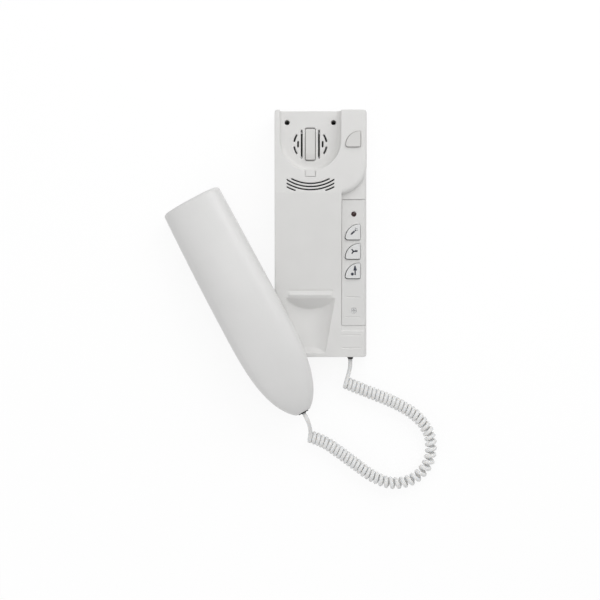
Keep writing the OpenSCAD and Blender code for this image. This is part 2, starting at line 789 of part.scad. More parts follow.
module sound_slots() {
  h = wall + 2 * cut;
  translate([cradle_x, sound_y, seat_z - wall - cut]) for (x = [-1, 1]) {
    translate([x * long_slot_x - slot_w / 2, -long_slot / 2, 0]) cube([slot_w, long_slot, h]);
    translate([x * short_slot_x - slot_w / 2, -short_slot / 2, 0]) cube([slot_w, short_slot, h]);
    for (a = [8, -36]) rotate([0, 0, (x < 0 ? 180 : 0) + a])
      rotate_extrude(angle = 28) translate([arc_slot_r - slot_w / 2, 0]) square([slot_w, h]);
  }
}

module smile_slots() {
  head_y = top_y - smile_drop;
  intersection() {
    box_between([cradle_x - smile_half, head_y - smile_h, face_z - wall - cut],
      [cradle_x + smile_half, head_y, platform_z + cut]);
    union() for (k = [0:3]) translate([cradle_x, sound_y, 0]) difference() {
      cylinder(h = platform_z + cut, r = smile_r + k * smile_step + smile_w / 2, $fn = 128);
      translate([0, 0, -cut]) cylinder(h = platform_z + 3 * cut, r = smile_r + k * smile_step - smile_w / 2);
    }
  }
}

// The bearing blocks of the hook's pin, under the seat's floor
module hook_ears() {
  for (x = [-1, 1]) difference() {
    translate([cradle_x + x * (hook_w / 2 + hook_gap + 0.4 + ear_t / 2), pivot_y, pivot_z])
      translate([-ear_t / 2, -2.6, -pin_r - 1.4]) cube([ear_t, 5.2, pivot_depth - wall + pin_r + 1.4 + join]);
    translate([cradle_x - pin_l, pivot_y, pivot_z]) rotate([0, 90, 0])
      cylinder(h = 2 * pin_l, r = pin_r + pin_seat_gap);
  }
}

module panel_holes(gap) {
  h = panel_z - tray_under + 2 * cut;
  for (i = [0:2])
    translate([button_x - button_set, first_button_y - i * button_pitch - button_set, tray_under - cut])
    linear_extrude(h) button_outline(gap + button_set);
  translate([lens_x, lens_y, tray_under - cut]) cylinder(h = h, r = lens_r + lens_gap);
  translate([lens_x, trim_y, tray_under - cut]) cylinder(h = h, r = trim_r + trim_gap);
}

module front_cover() {
  color(shell_white) {
    difference() {
      cover_outside();
      cover_inside();
      seat_hollow(0, 0);
      mouth_hollow(0);
      sound_slots();
      smile_slots();
      translate([cradle_x, sound_y, seat_z - wall - cut])
        linear_extrude(wall + 2 * cut)
        rounded_rect(hook_w + 2 * hook_gap, hook_window_l, hook_corner_r + hook_gap);
      for (x = screw_xs) translate([x, screw_y, 0]) cylinder(h = platform_z, r = screw_hole_r);
      translate([cradle_x - latch_w / 2, latch_y - latch_h, seat_z - wall - cut])
        cube([latch_w, latch_h, seat_depth + wall + 2 * cut]);
      box_between([column_x + column_step, panel_y0 - panel_gap, tray_z],
        [right_x + cut, panel_y1 + panel_gap, platform_z]);
      box_between([column_x + column_step, block_y, panel_z],
        [right_x + cut, panel_y1 + panel_gap, platform_z]);
      panel_holes(button_gap);
      translate([button_x, top_button_y, face_z]) linear_extrude(platform_rise + cut)
        button_outline(button_gap);
      translate([exit_x, foot_y - cut, exit_z]) rotate([-90, 0, 0])
        cylinder(h = wall + 2 * cut, r = bush_r + bush_gap);
      translate([cradle_x - lip_l / 2, mouth_head_y + 2 * lip_r + lip_groove, face_z - lip_groove_d])
        cube([lip_l, lip_groove, lip_r]);
      for (y = block_lines) translate([column_x, foot_y + y, face_z - block_line_d])
        cube([column_w - right_edge_r, block_line_w, cut]);
    }
    hook_ears();
    for (x = screw_xs) translate([x, screw_y, plate_t + 0.1]) difference() {
      cylinder(h = seat_z - wall - plate_t - 0.1 + join, r = screw_hole_r + screw_tube);
      translate([0, 0, -cut]) cylinder(h = platform_z, r = screw_hole_r);
    }
  }
}

module button_panel() {
  color(shell_white) difference() {
    intersection() {
      box_between([column_x + column_step + panel_gap, panel_y0, tray_z], [right_x, panel_y1, panel_z]);
      face_bar(column_x, right_x, foot_y, top_y, face_z, 0, right_edge_r);
    }
    panel_holes(button_gap);
    for (y = panel_lines) translate([button_x - button_w / 2, trim_y + y, panel_z - panel_line_d])
      cube([button_w, panel_line_w, cut]);
  }
}

// Wall unit: rear plate and board

module rear_plate() {
  plate_w = unit_w - 2 * (wall + plate_gap);
  plate_h = unit_h - 2 * (wall + plate_gap);
  tongue_t = latch_h - 2 * latch_gap - 2 * latch_room;
  color(shell_white) difference() {
    union() {
      linear_extrude(plate_t) rounded_rect(plate_w, plate_h, 1);
      for (p = board_screws) translate([p[0], p[1], 0]) cylinder(h = board_z, r = post_r);
      translate([cradle_x, sound_y, 0]) cylinder(h = ringer_z0 + magnet_h - 0.4, r = magnet_r + 2);
      translate([cradle_x - latch_w / 2 + latch_gap, latch_y - latch_h + latch_gap + latch_room, 0])
        cube([latch_w - 2 * latch_gap, tongue_t, platform_z - latch_sink]);
    }
    for (x = screw_xs) translate([x, screw_y, -cut]) cylinder(h = plate_t + 2 * cut, r = screw_hole_r);
    translate([cradle_x, cable_y, -cut]) cylinder(h = plate_t + 2 * cut, r = cable_r);
    for (p = board_screws) translate([p[0], p[1], plate_t * 0.6])
      cylinder(h = board_z, r = thread_r + thread_gap);
    translate([cradle_x, sound_y, ringer_z0 - 0.05]) cylinder(h = board_z, r = magnet_r + 0.15);
  }
}

// A dark gauze under the smile slots
module dust_screen() {
  head_y = top_y - smile_drop;
  color("#2a2a2c") box_between(
    [cradle_x - smile_half - screen_edge, head_y - smile_h - screen_edge, screen_z],
    [cradle_x + smile_half + screen_edge, head_y + screen_edge / 2, screen_z + screen_t]
  );
}

module circuit_board() {
  slot = [latch_w + 2, latch_h + 1.4];
  color(board_green) translate([0, 0, board_z]) linear_extrude(board_t) difference() {
    polygon([
      [board_strip_x, board_y0],
      [board_x1, board_y0],
      [board_x1, board_y1],
      [board_strip_x, board_y1],
      [board_strip_x, wing_y1],
      [board_x0, wing_y1],
      [board_x0, wing_y0],
      [board_strip_x, wing_y0]
    ]);
    for (p = board_screws) translate(p) circle(thread_r + 0.25);
    translate([cradle_x - slot[0] / 2, latch_y - latch_h - 0.7]) square(slot);
  }
}

module board_screws() {
  color(bright_steel) for (p = board_screws) translate([p[0], p[1], board_top])
    slotted_screw(board_t + board_lift - 0.6);
}

module key_switches() {
  ys = concat([top_button_y], [for (i = [0:2]) first_button_y - i * button_pitch]);
  color("#3a3a3c") for (y = ys) translate([button_x, y, board_top]) {
    translate([-3, -3, 0]) cube([6, 6, key_h]);
    cylinder(h = key_h + plunger_h, r = plunger_r);
  }
}

module terminal_block() {
  pitch = terminal_size[0] / terminal_n;
  color("#3f7f57") translate([terminal_x0, terminal_y - terminal_size[1] / 2, board_top])
    difference() {
      cube(terminal_size);
      for (i = [0:terminal_n - 1]) {
        translate([pitch * (i + 0.5), terminal_size[1] / 2 + terminal_screw_y, terminal_floor])
          cylinder(h = terminal_size[2], r = terminal_screw_r + 0.1);
        translate([pitch * (i + 0.5) - terminal_mouth / 2, -cut, 1.2])
          cube([terminal_mouth, 3.4 + cut, terminal_mouth * 1.2]);
      }
    }
}

module terminal_screws() {
  pitch = terminal_size[0] / terminal_n;
  color(bright_steel) for (i = [0:terminal_n - 1])
    translate([terminal_x0 + pitch * (i + 0.5), terminal_y + terminal_screw_y,
      board_top + terminal_floor]) difference() {
        cylinder(h = terminal_screw_h, r = terminal_screw_r);
        translate([-terminal_screw_r - cut, -0.25, terminal_screw_h - 0.8])
          cube([2 * terminal_screw_r + 2 * cut, 0.5, cut]);
      }
}

module capacitors() {
  color("#27374a") for (c = [[10, 4, 11], [20.5, 4, 11], [30, 3.2, 9]])
    translate([board_x0 + 7, wing_y0 + 10 + c[0], board_top]) difference() {
      cylinder(h = c[2], r = c[1]);
      translate([0, 0, c[2] - 1.2]) difference() {
        cylinder(h = 0.5, r = c[1] + cut);
        translate([0, 0, -cut]) cylinder(h = 3, r = c[1] - 0.4);
      }
    }
}

module audio_chip() {
  pins = 8;
  color("#242426") translate([cradle_x + chip_place[0], wing_y0 + chip_place[1], board_top]) {
    translate([-3.2, -10, 0.6]) cube([6.4, 20, 3]);
    for (x = [-1, 1], i = [0:pins - 1]) translate([x * 3.6 - 0.6, -9.1 + 2.45 * i, 0]) cube([1.2, 0.9, 2]);
  }
}

module cord_header() {
  color("#e6e1d2") translate([exit_x - header_size[0] / 2, header_y, board_top]) difference() {
    cube(header_size);
    translate([1, -cut, 1.5]) cube([header_size[0] - 2, header_size[1] - 2 + cut, header_size[2] - 3]);
  }
}

// Wall unit: ringer

module ringer_frame() {
  rim_z = ringer_z0 + ringer_h;
  color("#8f9296") translate([cradle_x, sound_y, 0]) rotate_extrude() difference() {
    polygon([
      [0, ringer_z0 + magnet_h],
      [magnet_r + 1.2, ringer_z0 + magnet_h],
      [ringer_r - 1.6, rim_z - 1.2],
      [ringer_r, rim_z - 1.2],
      [ringer_r, rim_z],
      [0, rim_z]
    ]);
    polygon([
      [-cut, ringer_z0 + magnet_h + 0.9],
      [magnet_r + 0.6, ringer_z0 + magnet_h + 0.9],
      [ringer_r - 2.4, rim_z - 0.6],
      [ringer_r - 1, rim_z - 0.6],
      [ringer_r - 1, rim_z + cut],
      [-cut, rim_z + cut]
    ]);
  }
}

module ringer_magnet() {
  color("#55585c") translate([cradle_x, sound_y, ringer_z0]) cylinder(h = magnet_h, r = magnet_r);
}

module ringer_cone() {
  rim_z = ringer_z0 + ringer_h;
  color("#3b3a38") translate([cradle_x, sound_y, 0]) rotate_extrude() polygon([
    [0, rim_z - 1.9],
    [4, rim_z - 2.3],
    [ringer_r - 2.6, rim_z - 0.6],
    [ringer_r - 1.1, rim_z - 0.6],
    [ringer_r - 1.1, rim_z - 0.2],
    [ringer_r - 2.6, rim_z - 0.2],
    [4, rim_z - 1.8],
    [0, rim_z - 1.4]
  ]);
}

module ringer_leads() {
  tag_r = ringer_r - 0.8;
  tag_z = ringer_z0 + ringer_h - 1.75;
  board_y = wing_y1 - 4;
  color("#a23a32") for (a = [-42, -50]) let (x = cradle_x + tag_r * cos(a)) wire([
    [x, sound_y + tag_r * sin(a), tag_z],
    [x, sound_y - ringer_r, tag_z],
    [x, board_y, board_top + 0.55],
    [x, board_y - 4, board_top + 0.55]
  ], 0.5);
}

// Wall unit: hook

module hook_shape() {
  difference() {
    union() {
      translate([0, (hook_back - hook_l) / 2, pivot_depth - hook_t]) linear_extrude(hook_t)
        rounded_rect(hook_w, hook_l + hook_back, hook_corner_r);
      rotate([0, 90, 0]) translate([0, 0, -hook_w / 2]) cylinder(h = hook_w, r = barrel_r);
      translate([-3, -hook_l + 1.3, arm_z0]) cube([6, 2.5, pivot_depth - arm_z0 - 1]);
      translate([-3, -arm_reach, arm_z0]) cube([6, arm_reach - hook_l + 3.8, arm_t]);
      translate([-arm_end_w / 2, -arm_reach, arm_z0]) cube([arm_end_w, 5, arm_t]);
    }
    rotate([0, 90, 0]) translate([0, 0, -hook_w]) cylinder(h = 2 * hook_w, r = pin_r + pin_gap);
    translate([-hook_w, -hook_l, pivot_depth - hook_bevel_d]) rotate([hook_bevel_a, 0, 0])
      translate([0, -hook_l, 0]) cube([2 * hook_w, 2 * hook_l, hook_t]);
  }
}

module hook_lever() {
  color(button_white) translate([cradle_x, pivot_y, pivot_z]) rotate([-hook_lift, 0, 0]) hook_shape();
}

module hook_pin() {
  color(bright_steel) translate([cradle_x - pin_l / 2, pivot_y, pivot_z]) rotate([0, 90, 0])
    cylinder(h = pin_l, r = pin_r);
}

module hook_spring() {
  n = spring_turns * curl_rings;
  rise = spring_z1 - spring_z0 - spring_d;
  line = [for (i = [0:n]) [
    spring_x + spring_r * cos(360 * i / curl_rings),
    spring_y + spring_r * sin(360 * i / curl_rings),
    spring_z0 + spring_d / 2 + rise * i / n
  ]];
  color(bright_steel) ring_tube(tube_rings(line, [for (i = [0:n]) [0, 0, 1]], spring_d / 2));
}

module hook_switch() {
  color("#2d2d30") translate([cradle_x + 3.6, spring_y, board_top]) {
    translate([-3, -2.2, 0]) cube([6, 4.4, switch_top - board_top - 0.7]);
    cylinder(h = switch_top - board_top, r = 1);
  }
}

// Wall unit: controls

// A button on its stem; the deck is the wall that its flange stops under
module push_button(y, surround_z, deck_z) {
  flange_z = deck_z - flange_gap - flange_t;
  stem_z = key_top + button_travel + stem_gap;
  color(button_white) translate([button_x, y, 0]) {
    translate([0, 0, flange_z]) linear_extrude(surround_z + button_proud - flange_z) button_outline(0);
    translate([0, 0, flange_z]) linear_extrude(flange_t) button_outline(button_gap + flange_w);
    translate([0, 0, stem_z]) cylinder(h = flange_z - stem_z + join, r = stem_r);
  }
}

module top_button() {
  push_button(top_button_y, platform_z, platform_z - wall);
}

module light_button() {
  push_button(first_button_y, panel_z, tray_under);
}

module door_button() {
  push_button(first_button_y - button_pitch, panel_z, tray_under);
}

module call_button() {
  push_button(first_button_y - 2 * button_pitch, panel_z, tray_under);
}

module indicator_lens() {
  color("#7a2f2c") translate([lens_x, lens_y, 0]) {
    translate([0, 0, board_top + 5.2]) cylinder(h = panel_z - board_top - 5.2, r = lens_r);
    translate([0, 0, tray_under - 1.2]) cylinder(h = 1, r = lens_r + 0.8);
    intersection() {
      translate([0, 0, panel_z - 3.6]) sphere(4.2);
      translate([0, 0, panel_z - join]) cylinder(h = 2, r = lens_r);
    }
  }
}

module indicator_lamp() {
  color("#a13b36") translate([lens_x, lens_y, board_top]) {
    cylinder(h = 1, r = 1.9);
    cylinder(h = 3.6, r = 1.5);
    translate([0, 0, 3.6]) sphere(1.5);
  }
}

module trimmer_body() {
  color("#31507a") translate([lens_x, trim_y, board_top]) difference() {
    translate([-3.2, -3.2, 0]) cube([6.4, 6.4, 4.6]);
    translate([0, 0, 3.4]) cylinder(h = 3, r = 2.6);
  }
}

module trimmer_shaft() {
  z0 = board_top + 3.5;
  top = panel_z - 0.2;
  color(button_white) translate([lens_x, trim_y, 0]) difference() {
    union() {
      translate([0, 0, z0]) cylinder(h = 1, r = 2.5);
      translate([0, 0, z0]) cylinder(h = top - z0, r = trim_r);
    }
    for (a = [0, 90]) rotate([0, 0, a]) translate([-trim_slot[0] / 2, -trim_slot[1] / 2, top - trim_slot[2]])
      cube(trim_slot + [0, 0, cut]);
  }
}

module base_bush() {
  color(dark_rubber) translate([exit_x, foot_y, exit_z]) rotate([90, 0, 0]) {
    translate([0, 0, -wall - 1.6]) cylinder(h = 1.5, r = bush_r + bush_flange);
    translate([0, 0, -wall - 0.5]) cylinder(h = wall + 0.5, r = bush_r);
    translate([0, 0, -join]) cylinder(h = bush_out + join, r1 = bush_r, r2 = bush_nose_r);
  }
}

module base_cord_leads() {
  y0 = foot_y + wall + 1.6;
  color("#b9a23a") for (x = [-1.5, -0.5, 0.5, 1.5]) wire([
    [exit_x + x, y0, exit_z],
    [exit_x + x * 1.4, y0 + 3, exit_z],
    [exit_x + x * 2, header_y - 1, board_top + 3.5],
    [exit_x + x * 2, header_y + 3.4, board_top + 3.5]
  ], 0.4);
}

// Handset

module handset_placed() {
  translate([handset_x, handset_y, handset_z]) rotate([-lean_pitch, -lean_roll, lean_angle]) children();
}

// A shell between an outer and an inner grid of points, closed at its first row, open at its last
module half_shell(outer, inner) {
  rows = len(outer);
  n = len(outer[0]);
  points = concat([for (r = outer) for (p = r) p], [for (r = inner) for (p = r) p]);
  start = rows * n;
  last = (rows - 1) * n;
  skin = [for (i = [0:rows - 2]) for (j = [0:n - 2]) let (a = i * n + j)
    each [[a, a + n, a + 1], [a + 1, a + n, a + n + 1]]];
  lining = [for (f = skin) [f[0] + start, f[2] + start, f[1] + start]];
  rim = [for (i = [0:rows - 2]) let (a = i * n, b = i * n + n - 1)
    each [
      [a, start + a, a + n], [start + a, start + a + n, a + n],
      [b, b + n, start + b], [start + b, b + n, start + b + n]
    ]];
  end_rim = [[0, n - 1, start], [n - 1, start + n - 1, start]];
  end_cap = [for (j = [1:n - 2]) [0, j, j + 1]];
  end_lining = [for (j = [1:n - 2]) [start, start + j + 1, start + j]];
  tip = [for (j = [0:n - 2])
    each [[last + j, start + last + j, last + j + 1],
      [last + j + 1, start + last + j, start + last + j + 1]]];
  polyhedron(points = points, faces = concat(skin, lining, rim, end_rim, end_cap, end_lining, tip));
}

arch_angles = [for (k = [0:arch_steps]) 180 * k / arch_steps];

module handset_back_shell() {
  outer = [for (s = stations) [for (a = arch_angles) back_point(s, a, 0)]];
  inner = [for (s = stations) [for (a = arch_angles) back_point(s, a, shell_t)]];
  color(shell_white) handset_placed() difference() {
    union() {
      half_shell(outer, inner);
      for (s = boss_ss) translate([0, -s, parting(s) - grip_d + shell_t + 0.2])
        cylinder(h = back_height(s) + ridge_rise(s, boss_r / half_mid) + grip_d - 1.5 * shell_t, r = boss_r);
    }
    for (s = boss_ss) translate([0, -s, parting(s) - grip_d]) cylinder(h = 14, r = thread_r + thread_gap);
  }
}

module handset_face_shell() {
  outer = [for (s = stations) [for (a = arch_angles) face_point(s, -a, 0)]];
  inner = [for (s = stations) [for (a = arch_angles) face_point(s, -a, shell_t)]];
  flip_outer = [for (r = outer) [for (k = [arch_steps:-1:0]) r[k]]];
  flip_inner = [for (r = inner) [for (k = [arch_steps:-1:0]) r[k]]];
  color(shell_white) handset_placed() difference() {
    half_shell(flip_outer, flip_inner);
    translate([0, -ear_s, -ear_d - cut]) cylinder(h = shell_t + 2 * cut, r = ear_grille_r + 0.1);
    translate([0, -mic_s, -mouthpiece_d - cut]) cylinder(h = shell_t + 2 * cut, r = 1);
    for (s = boss_ss) translate([0, -s, parting(s) - grip_d - cut]) {
      cylinder(h = shell_t + 2 * cut, r = thread_r + 0.3);
      cylinder(h = cut + 0.9, r = head_r + 0.3);
    }
  }
}

module earpiece_grille() {
  flange_z = -ear_d + shell_t + grille_gap;
  color("#d9d9d6") handset_placed() translate([0, -ear_s, 0]) difference() {
    union() {
      translate([0, 0, -ear_d]) cylinder(h = shell_t + grille_gap + join, r = ear_grille_r);
      translate([0, 0, flange_z]) cylinder(h = grille_flange_t, r = ear_grille_r + grille_flange);
    }
    translate([0, 0, -ear_d + grille_t]) cylinder(h = 10, r = ear_grille_r - 4.5);
    translate([0, 0, -ear_d - cut]) {
      cylinder(h = 5, r = 0.9);
      for (ring = [1:3], k = [0:6 * ring - 1]) rotate([0, 0, 60 * k / ring]) translate([3 * ring, 0, 0])
        cylinder(h = 5, r = 0.9);
    }
  }
}

ear_stack_z = -ear_d + shell_t + grille_gap + grille_flange_t;

module earpiece_gasket() {
  color(dark_rubber) handset_placed() translate([0, -ear_s, ear_stack_z]) difference() {
    cylinder(h = gasket_t, r = ear_grille_r - 0.5);
    translate([0, 0, -cut]) cylinder(h = gasket_t + 2 * cut, r = ear_grille_r - 4.5);
  }
}

module earpiece_capsule() {
  color("#77797c") handset_placed() translate([0, -ear_s, ear_stack_z + gasket_t]) {
    cylinder(h = ear_capsule_h - 2, r = ear_grille_r - 1);
    cylinder(h = ear_capsule_h, r = ear_grille_r - 5);
  }
}

mic_floor = -mouthpiece_d + shell_t + 0.25;

module microphone_boot() {
  color(dark_rubber) handset_placed() translate([0, -mic_s, mic_floor]) difference() {
    cylinder(h = mic_h + 0.4, r = mic_r + mic_boot_t);
    translate([0, 0, mic_boot_t]) cylinder(h = mic_h + cut, r = mic_r + 0.05);
    translate([0, 0, -cut]) cylinder(h = 4, r = 1.5);
  }
}

module microphone_capsule() {
  color("#9a9da0") handset_placed() translate([0, -mic_s, mic_floor + mic_boot_t + 0.02]) {
    cylinder(h = mic_h - 0.6, r = mic_r);
    cylinder(h = mic_h, r = mic_r - 1);
  }
}

module handset_screws() {
  color(bright_steel) handset_placed() for (s = boss_ss)
    translate([0, -s, parting(s) - grip_d + 0.9]) rotate([180, 0, 0]) difference() {
      union() {
        cylinder(h = 0.8, r = head_r);
        translate([0, 0, -9]) cylinder(h = 9 + join, r = thread_r);
      }
      translate([-head_r - cut, -0.3, 0.4]) cube([2 * head_r + 2 * cut, 0.6, cut]);
    }
}

module handset_leads() {
  start_s = handset_l - tip_bush_l - 0.35;
  mic_top = mic_floor + mic_boot_t + mic_h + lead_r + 0.1;
  ear_top = ear_stack_z + gasket_t + ear_capsule_h + lead_r + 0.1;
  color("#a23a32") handset_placed() {
    wire([
      [-1.5, -start_s, tip_bush_w],
      [-1.5, -start_s + 8, mic_top],
      [-1.5, -mic_s, mic_top]
    ], lead_r);
    wire([
      [1.5, -start_s, tip_bush_w],
      [7, -start_s + 8, mic_top + 1],
      [8, -mic_s + 10, parting(mic_s) + 1],
      [8, -handset_l / 2, parting(handset_l / 2) + 2],
      [6, -ear_s - 20, ear_top + 4.5],
      [4, -ear_s - 4, ear_top]
    ], lead_r);
  }
}

module handset_bush() {
  color(dark_rubber) handset_placed() translate([0, -handset_l, tip_bush_w]) rotate([90, 0, 0]) {
    translate([0, 0, -tip_bush_l]) linear_extrude(tip_bush_l - tip_nose_l)
      rounded_rect(tip_bush[0], tip_bush[1], tip_bush_r);
    translate([0, 0, -tip_nose_l - join])
      cylinder(h = tip_nose_l + join + bush_out / 2, r1 = tip_bush_r, r2 = bush_nose_r);
    translate([0, 0, tip_flange_gap]) linear_extrude(tip_flange_t)
      rounded_rect(tip_flange[0], tip_flange[1], tip_bush_r);
  }
}

// Curly cord

function spline(p0, p1, p2, p3, t) =
  0.5 * (2 * p1 + (p2 - p0) * t + (2 * p0 - 5 * p1 + 4 * p2 - p3) * t * t
  + (3 * p1 - p0 - 3 * p2 + p3) * t * t * t);
function hermite(p0, d0, p1, d1, t) =
  (2 * t * t * t - 3 * t * t + 1) * p0 + (t * t * t - 2 * t * t + t) * d0
  + (3 * t * t - 2 * t * t * t) * p1 + (t * t * t - t * t) * d1;

module curly_cord() {
  n = len(coil_route);
  axis_line = concat(
    [for (i = [0:n - 2]) for (k = [0:route_steps - 1])
      spline(coil_route[max(i - 1, 0)], coil_route[i], coil_route[i + 1], coil_route[min(i + 2, n - 1)],
        k / route_steps)],
    [coil_route[n - 1]]
  );
  m = len(axis_line);
  along = [for (i = 0, a = 0; i < m; a = a + norm(axis_line[min(i + 1, m - 1)] - axis_line[i]), i = i + 1) a];
  full = along[m - 1];
  drawn = [for (a = along) pow(sin(180 * clamp01((a / full - draw_from) / (draw_to - draw_from))), 2)];
  wound = [for (i = 0, w = 0; i < m;
    w = w + (along[min(i + 1, m - 1)] - along[i]) / (1 + (draw_out - 1) * drawn[i]), i = i + 1) w];
  by_turn = [for (i = [0:m - 1]) [curls * wound[i] / wound[m - 1], along[i]]];
  axis_x = [for (i = [0:m - 1]) [along[i], axis_line[i][0]]];
  axis_y = [for (i = [0:m - 1]) [along[i], axis_line[i][1]]];
  axis_r = [for (i = [0:m - 1]) [along[i], coil_end_r + (coil_mid_r - coil_end_r) * sqrt(drawn[i])]];
  places = [for (k = [0:curls * curl_rings]) lookup(k / curl_rings, by_turn)];
  axis_dirs = [for (a = places) unit([
    lookup(min(a + 1, full), axis_x) - lookup(max(a - 1, 0), axis_x),
    lookup(min(a + 1, full), axis_y) - lookup(max(a - 1, 0), axis_y),
    0
  ])];
  helix = [for (k = [0:len(places) - 1])
    let (
      a = places[k], t = axis_dirs[k], r = lookup(a, axis_r), turn = 90 + 360 * k / curl_rings,
      middle = [lookup(a, axis_x), lookup(a, axis_y), r + cord_d / 2 + coil_gap]
    )
    middle + r * cos(turn) * [-t[1], t[0], 0] + [0, 0, r * sin(turn)]];
  last = len(helix) - 1;
  start = [exit_x, foot_y - bush_out, exit_z];
  start_run = start + [0, -cord_d, 0];
  end_dir = handset_dir([0, -1, 0]);
  end = handset_point([0, -handset_l - bush_out / 2, tip_bush_w]);
  end_run = end + cord_d * end_dir;
  start_tail = [for (k = [1:tail_steps - 1])
    hermite(start_run, [0, -tail_pull, 0], helix[0], tail_pull * line_tangent(helix, 0), k / tail_steps)];
  end_tail = [for (k = [1:tail_steps])
    hermite(helix[last], tail_pull * line_tangent(helix, last), end_run, -1.2 * tail_pull * end_dir,
      k / (tail_steps + 1))];
  line = concat([start, start_run], start_tail, helix, end_tail, [end_run, end]);
  refs = concat(
    [for (k = [0:tail_steps]) axis_dirs[0]],
    axis_dirs,
    [for (k = [0:tail_steps + 1]) axis_dirs[last]]
  );
  echo(cord_length = sum_of_runs(line), cord_least_gap = least_gap(line, cord_d), curls = curls);
  color("#e2e2df") ring_tube(tube_rings(line, refs, cord_d / 2));
}

function sum_of_runs(line) = [for (i = 0, a = 0; i < len(line);
  a = a + norm(line[min(i + 1, len(line) - 1)] - line[i]), i = i + 1) a][len(line) - 1];

rear_plate();
front_cover();
dust_screen();
button_panel();
indicator_lens();
indicator_lamp();
circuit_board();
board_screws();
key_switches();
terminal_block();
terminal_screws();
capacitors();
audio_chip();
cord_header();
ringer_frame();
ringer_magnet();
ringer_cone();
ringer_leads();
hook_lever();
hook_pin();
hook_spring();
hook_switch();
top_button();
light_button();
door_button();
call_button();
trimmer_body();
trimmer_shaft();
base_bush();
base_cord_leads();
handset_back_shell();
handset_face_shell();
earpiece_grille();
earpiece_gasket();
earpiece_capsule();
microphone_capsule();
microphone_boot();
handset_screws();
handset_leads();
handset_bush();
curly_cord();
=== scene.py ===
"""Dresses an audio intercom: its wall unit, the handset lifted off it and their curly cord.

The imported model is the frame, in metres: the origin is the centre of the wall unit's rear face,
+X is to the right of the unit, +Y towards its earpiece end and +Z out of its front.
"""

import json
import logging
import math
from dataclasses import dataclass, field
from enum import Enum

import bmesh
import bpy
from mathutils import Matrix, Vector

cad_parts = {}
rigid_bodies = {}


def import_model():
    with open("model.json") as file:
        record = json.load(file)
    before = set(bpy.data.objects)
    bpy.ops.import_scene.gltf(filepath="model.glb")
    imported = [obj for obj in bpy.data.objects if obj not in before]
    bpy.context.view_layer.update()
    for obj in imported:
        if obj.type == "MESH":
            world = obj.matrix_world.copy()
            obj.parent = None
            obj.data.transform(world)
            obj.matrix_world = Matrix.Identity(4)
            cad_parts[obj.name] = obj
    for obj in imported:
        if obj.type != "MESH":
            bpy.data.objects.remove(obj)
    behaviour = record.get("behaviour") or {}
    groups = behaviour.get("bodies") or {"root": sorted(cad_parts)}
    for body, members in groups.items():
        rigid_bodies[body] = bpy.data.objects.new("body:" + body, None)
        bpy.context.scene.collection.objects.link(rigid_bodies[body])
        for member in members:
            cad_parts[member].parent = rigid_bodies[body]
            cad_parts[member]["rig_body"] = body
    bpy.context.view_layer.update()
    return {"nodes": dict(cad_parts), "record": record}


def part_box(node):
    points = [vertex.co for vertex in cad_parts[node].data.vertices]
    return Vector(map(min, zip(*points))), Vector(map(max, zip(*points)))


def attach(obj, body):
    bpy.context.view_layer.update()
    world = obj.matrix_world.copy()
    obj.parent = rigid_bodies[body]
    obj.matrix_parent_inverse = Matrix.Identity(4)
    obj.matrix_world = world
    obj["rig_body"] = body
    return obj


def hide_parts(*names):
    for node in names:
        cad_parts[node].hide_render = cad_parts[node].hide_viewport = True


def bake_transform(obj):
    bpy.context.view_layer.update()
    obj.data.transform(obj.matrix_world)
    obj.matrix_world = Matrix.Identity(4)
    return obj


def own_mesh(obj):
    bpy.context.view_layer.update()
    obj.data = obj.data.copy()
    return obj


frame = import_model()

LOG = logging.getLogger("intercom")
MM = 0.001
SPECK = 0.000004
CRISP_ANGLE = 40.0
SOFTENING = 0.5

Colour = tuple[float, float, float]
Point = tuple[float, float, float]
Face = tuple[int, ...]
Socket = bpy.types.NodeSocket
Mesh = bpy.types.Mesh
Piece = bpy.types.Object

WHITE = (1.0, 1.0, 1.0, 1.0)
EVEN: Point = (1.0, 1.0, 1.0)
LENGTHWISE: Point = (1.0, 14.0, 14.0)
NOISE_SPAN = (0.3, 0.7)


def body_of(node: str) -> str:
    """Looks up the body that a CAD node rides on."""
    return frame["nodes"][node]["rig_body"]


def clamp01(x: float) -> float:
    """Holds a number between 0 and 1."""
    return min(1.0, max(0.0, x))


def read_table(x: float, xs: list[float], ys: list[float]) -> float:
    """Reads a table of rising xs at x, with straight lines between its points."""
    if x <= xs[0]:
        return ys[0]
    for i in range(1, len(xs)):
        if x <= xs[i]:
            share = (x - xs[i - 1]) / (xs[i] - xs[i - 1])
            return ys[i - 1] + (ys[i] - ys[i - 1]) * share
    return ys[-1]


def ease(x: float) -> float:
    """Smooth step from 0 to 1."""
    c = clamp01(x)
    return c * c * (3 - 2 * c)


# Finishes


class Detail(Enum):
    """Kind of fine relief that a finish carries."""

    MOULDED = "moulded"
    BRUSHED = "brushed"
    FIBRE = "fibre"
    TRACKS = "tracks"
    GAUZE = "gauze"


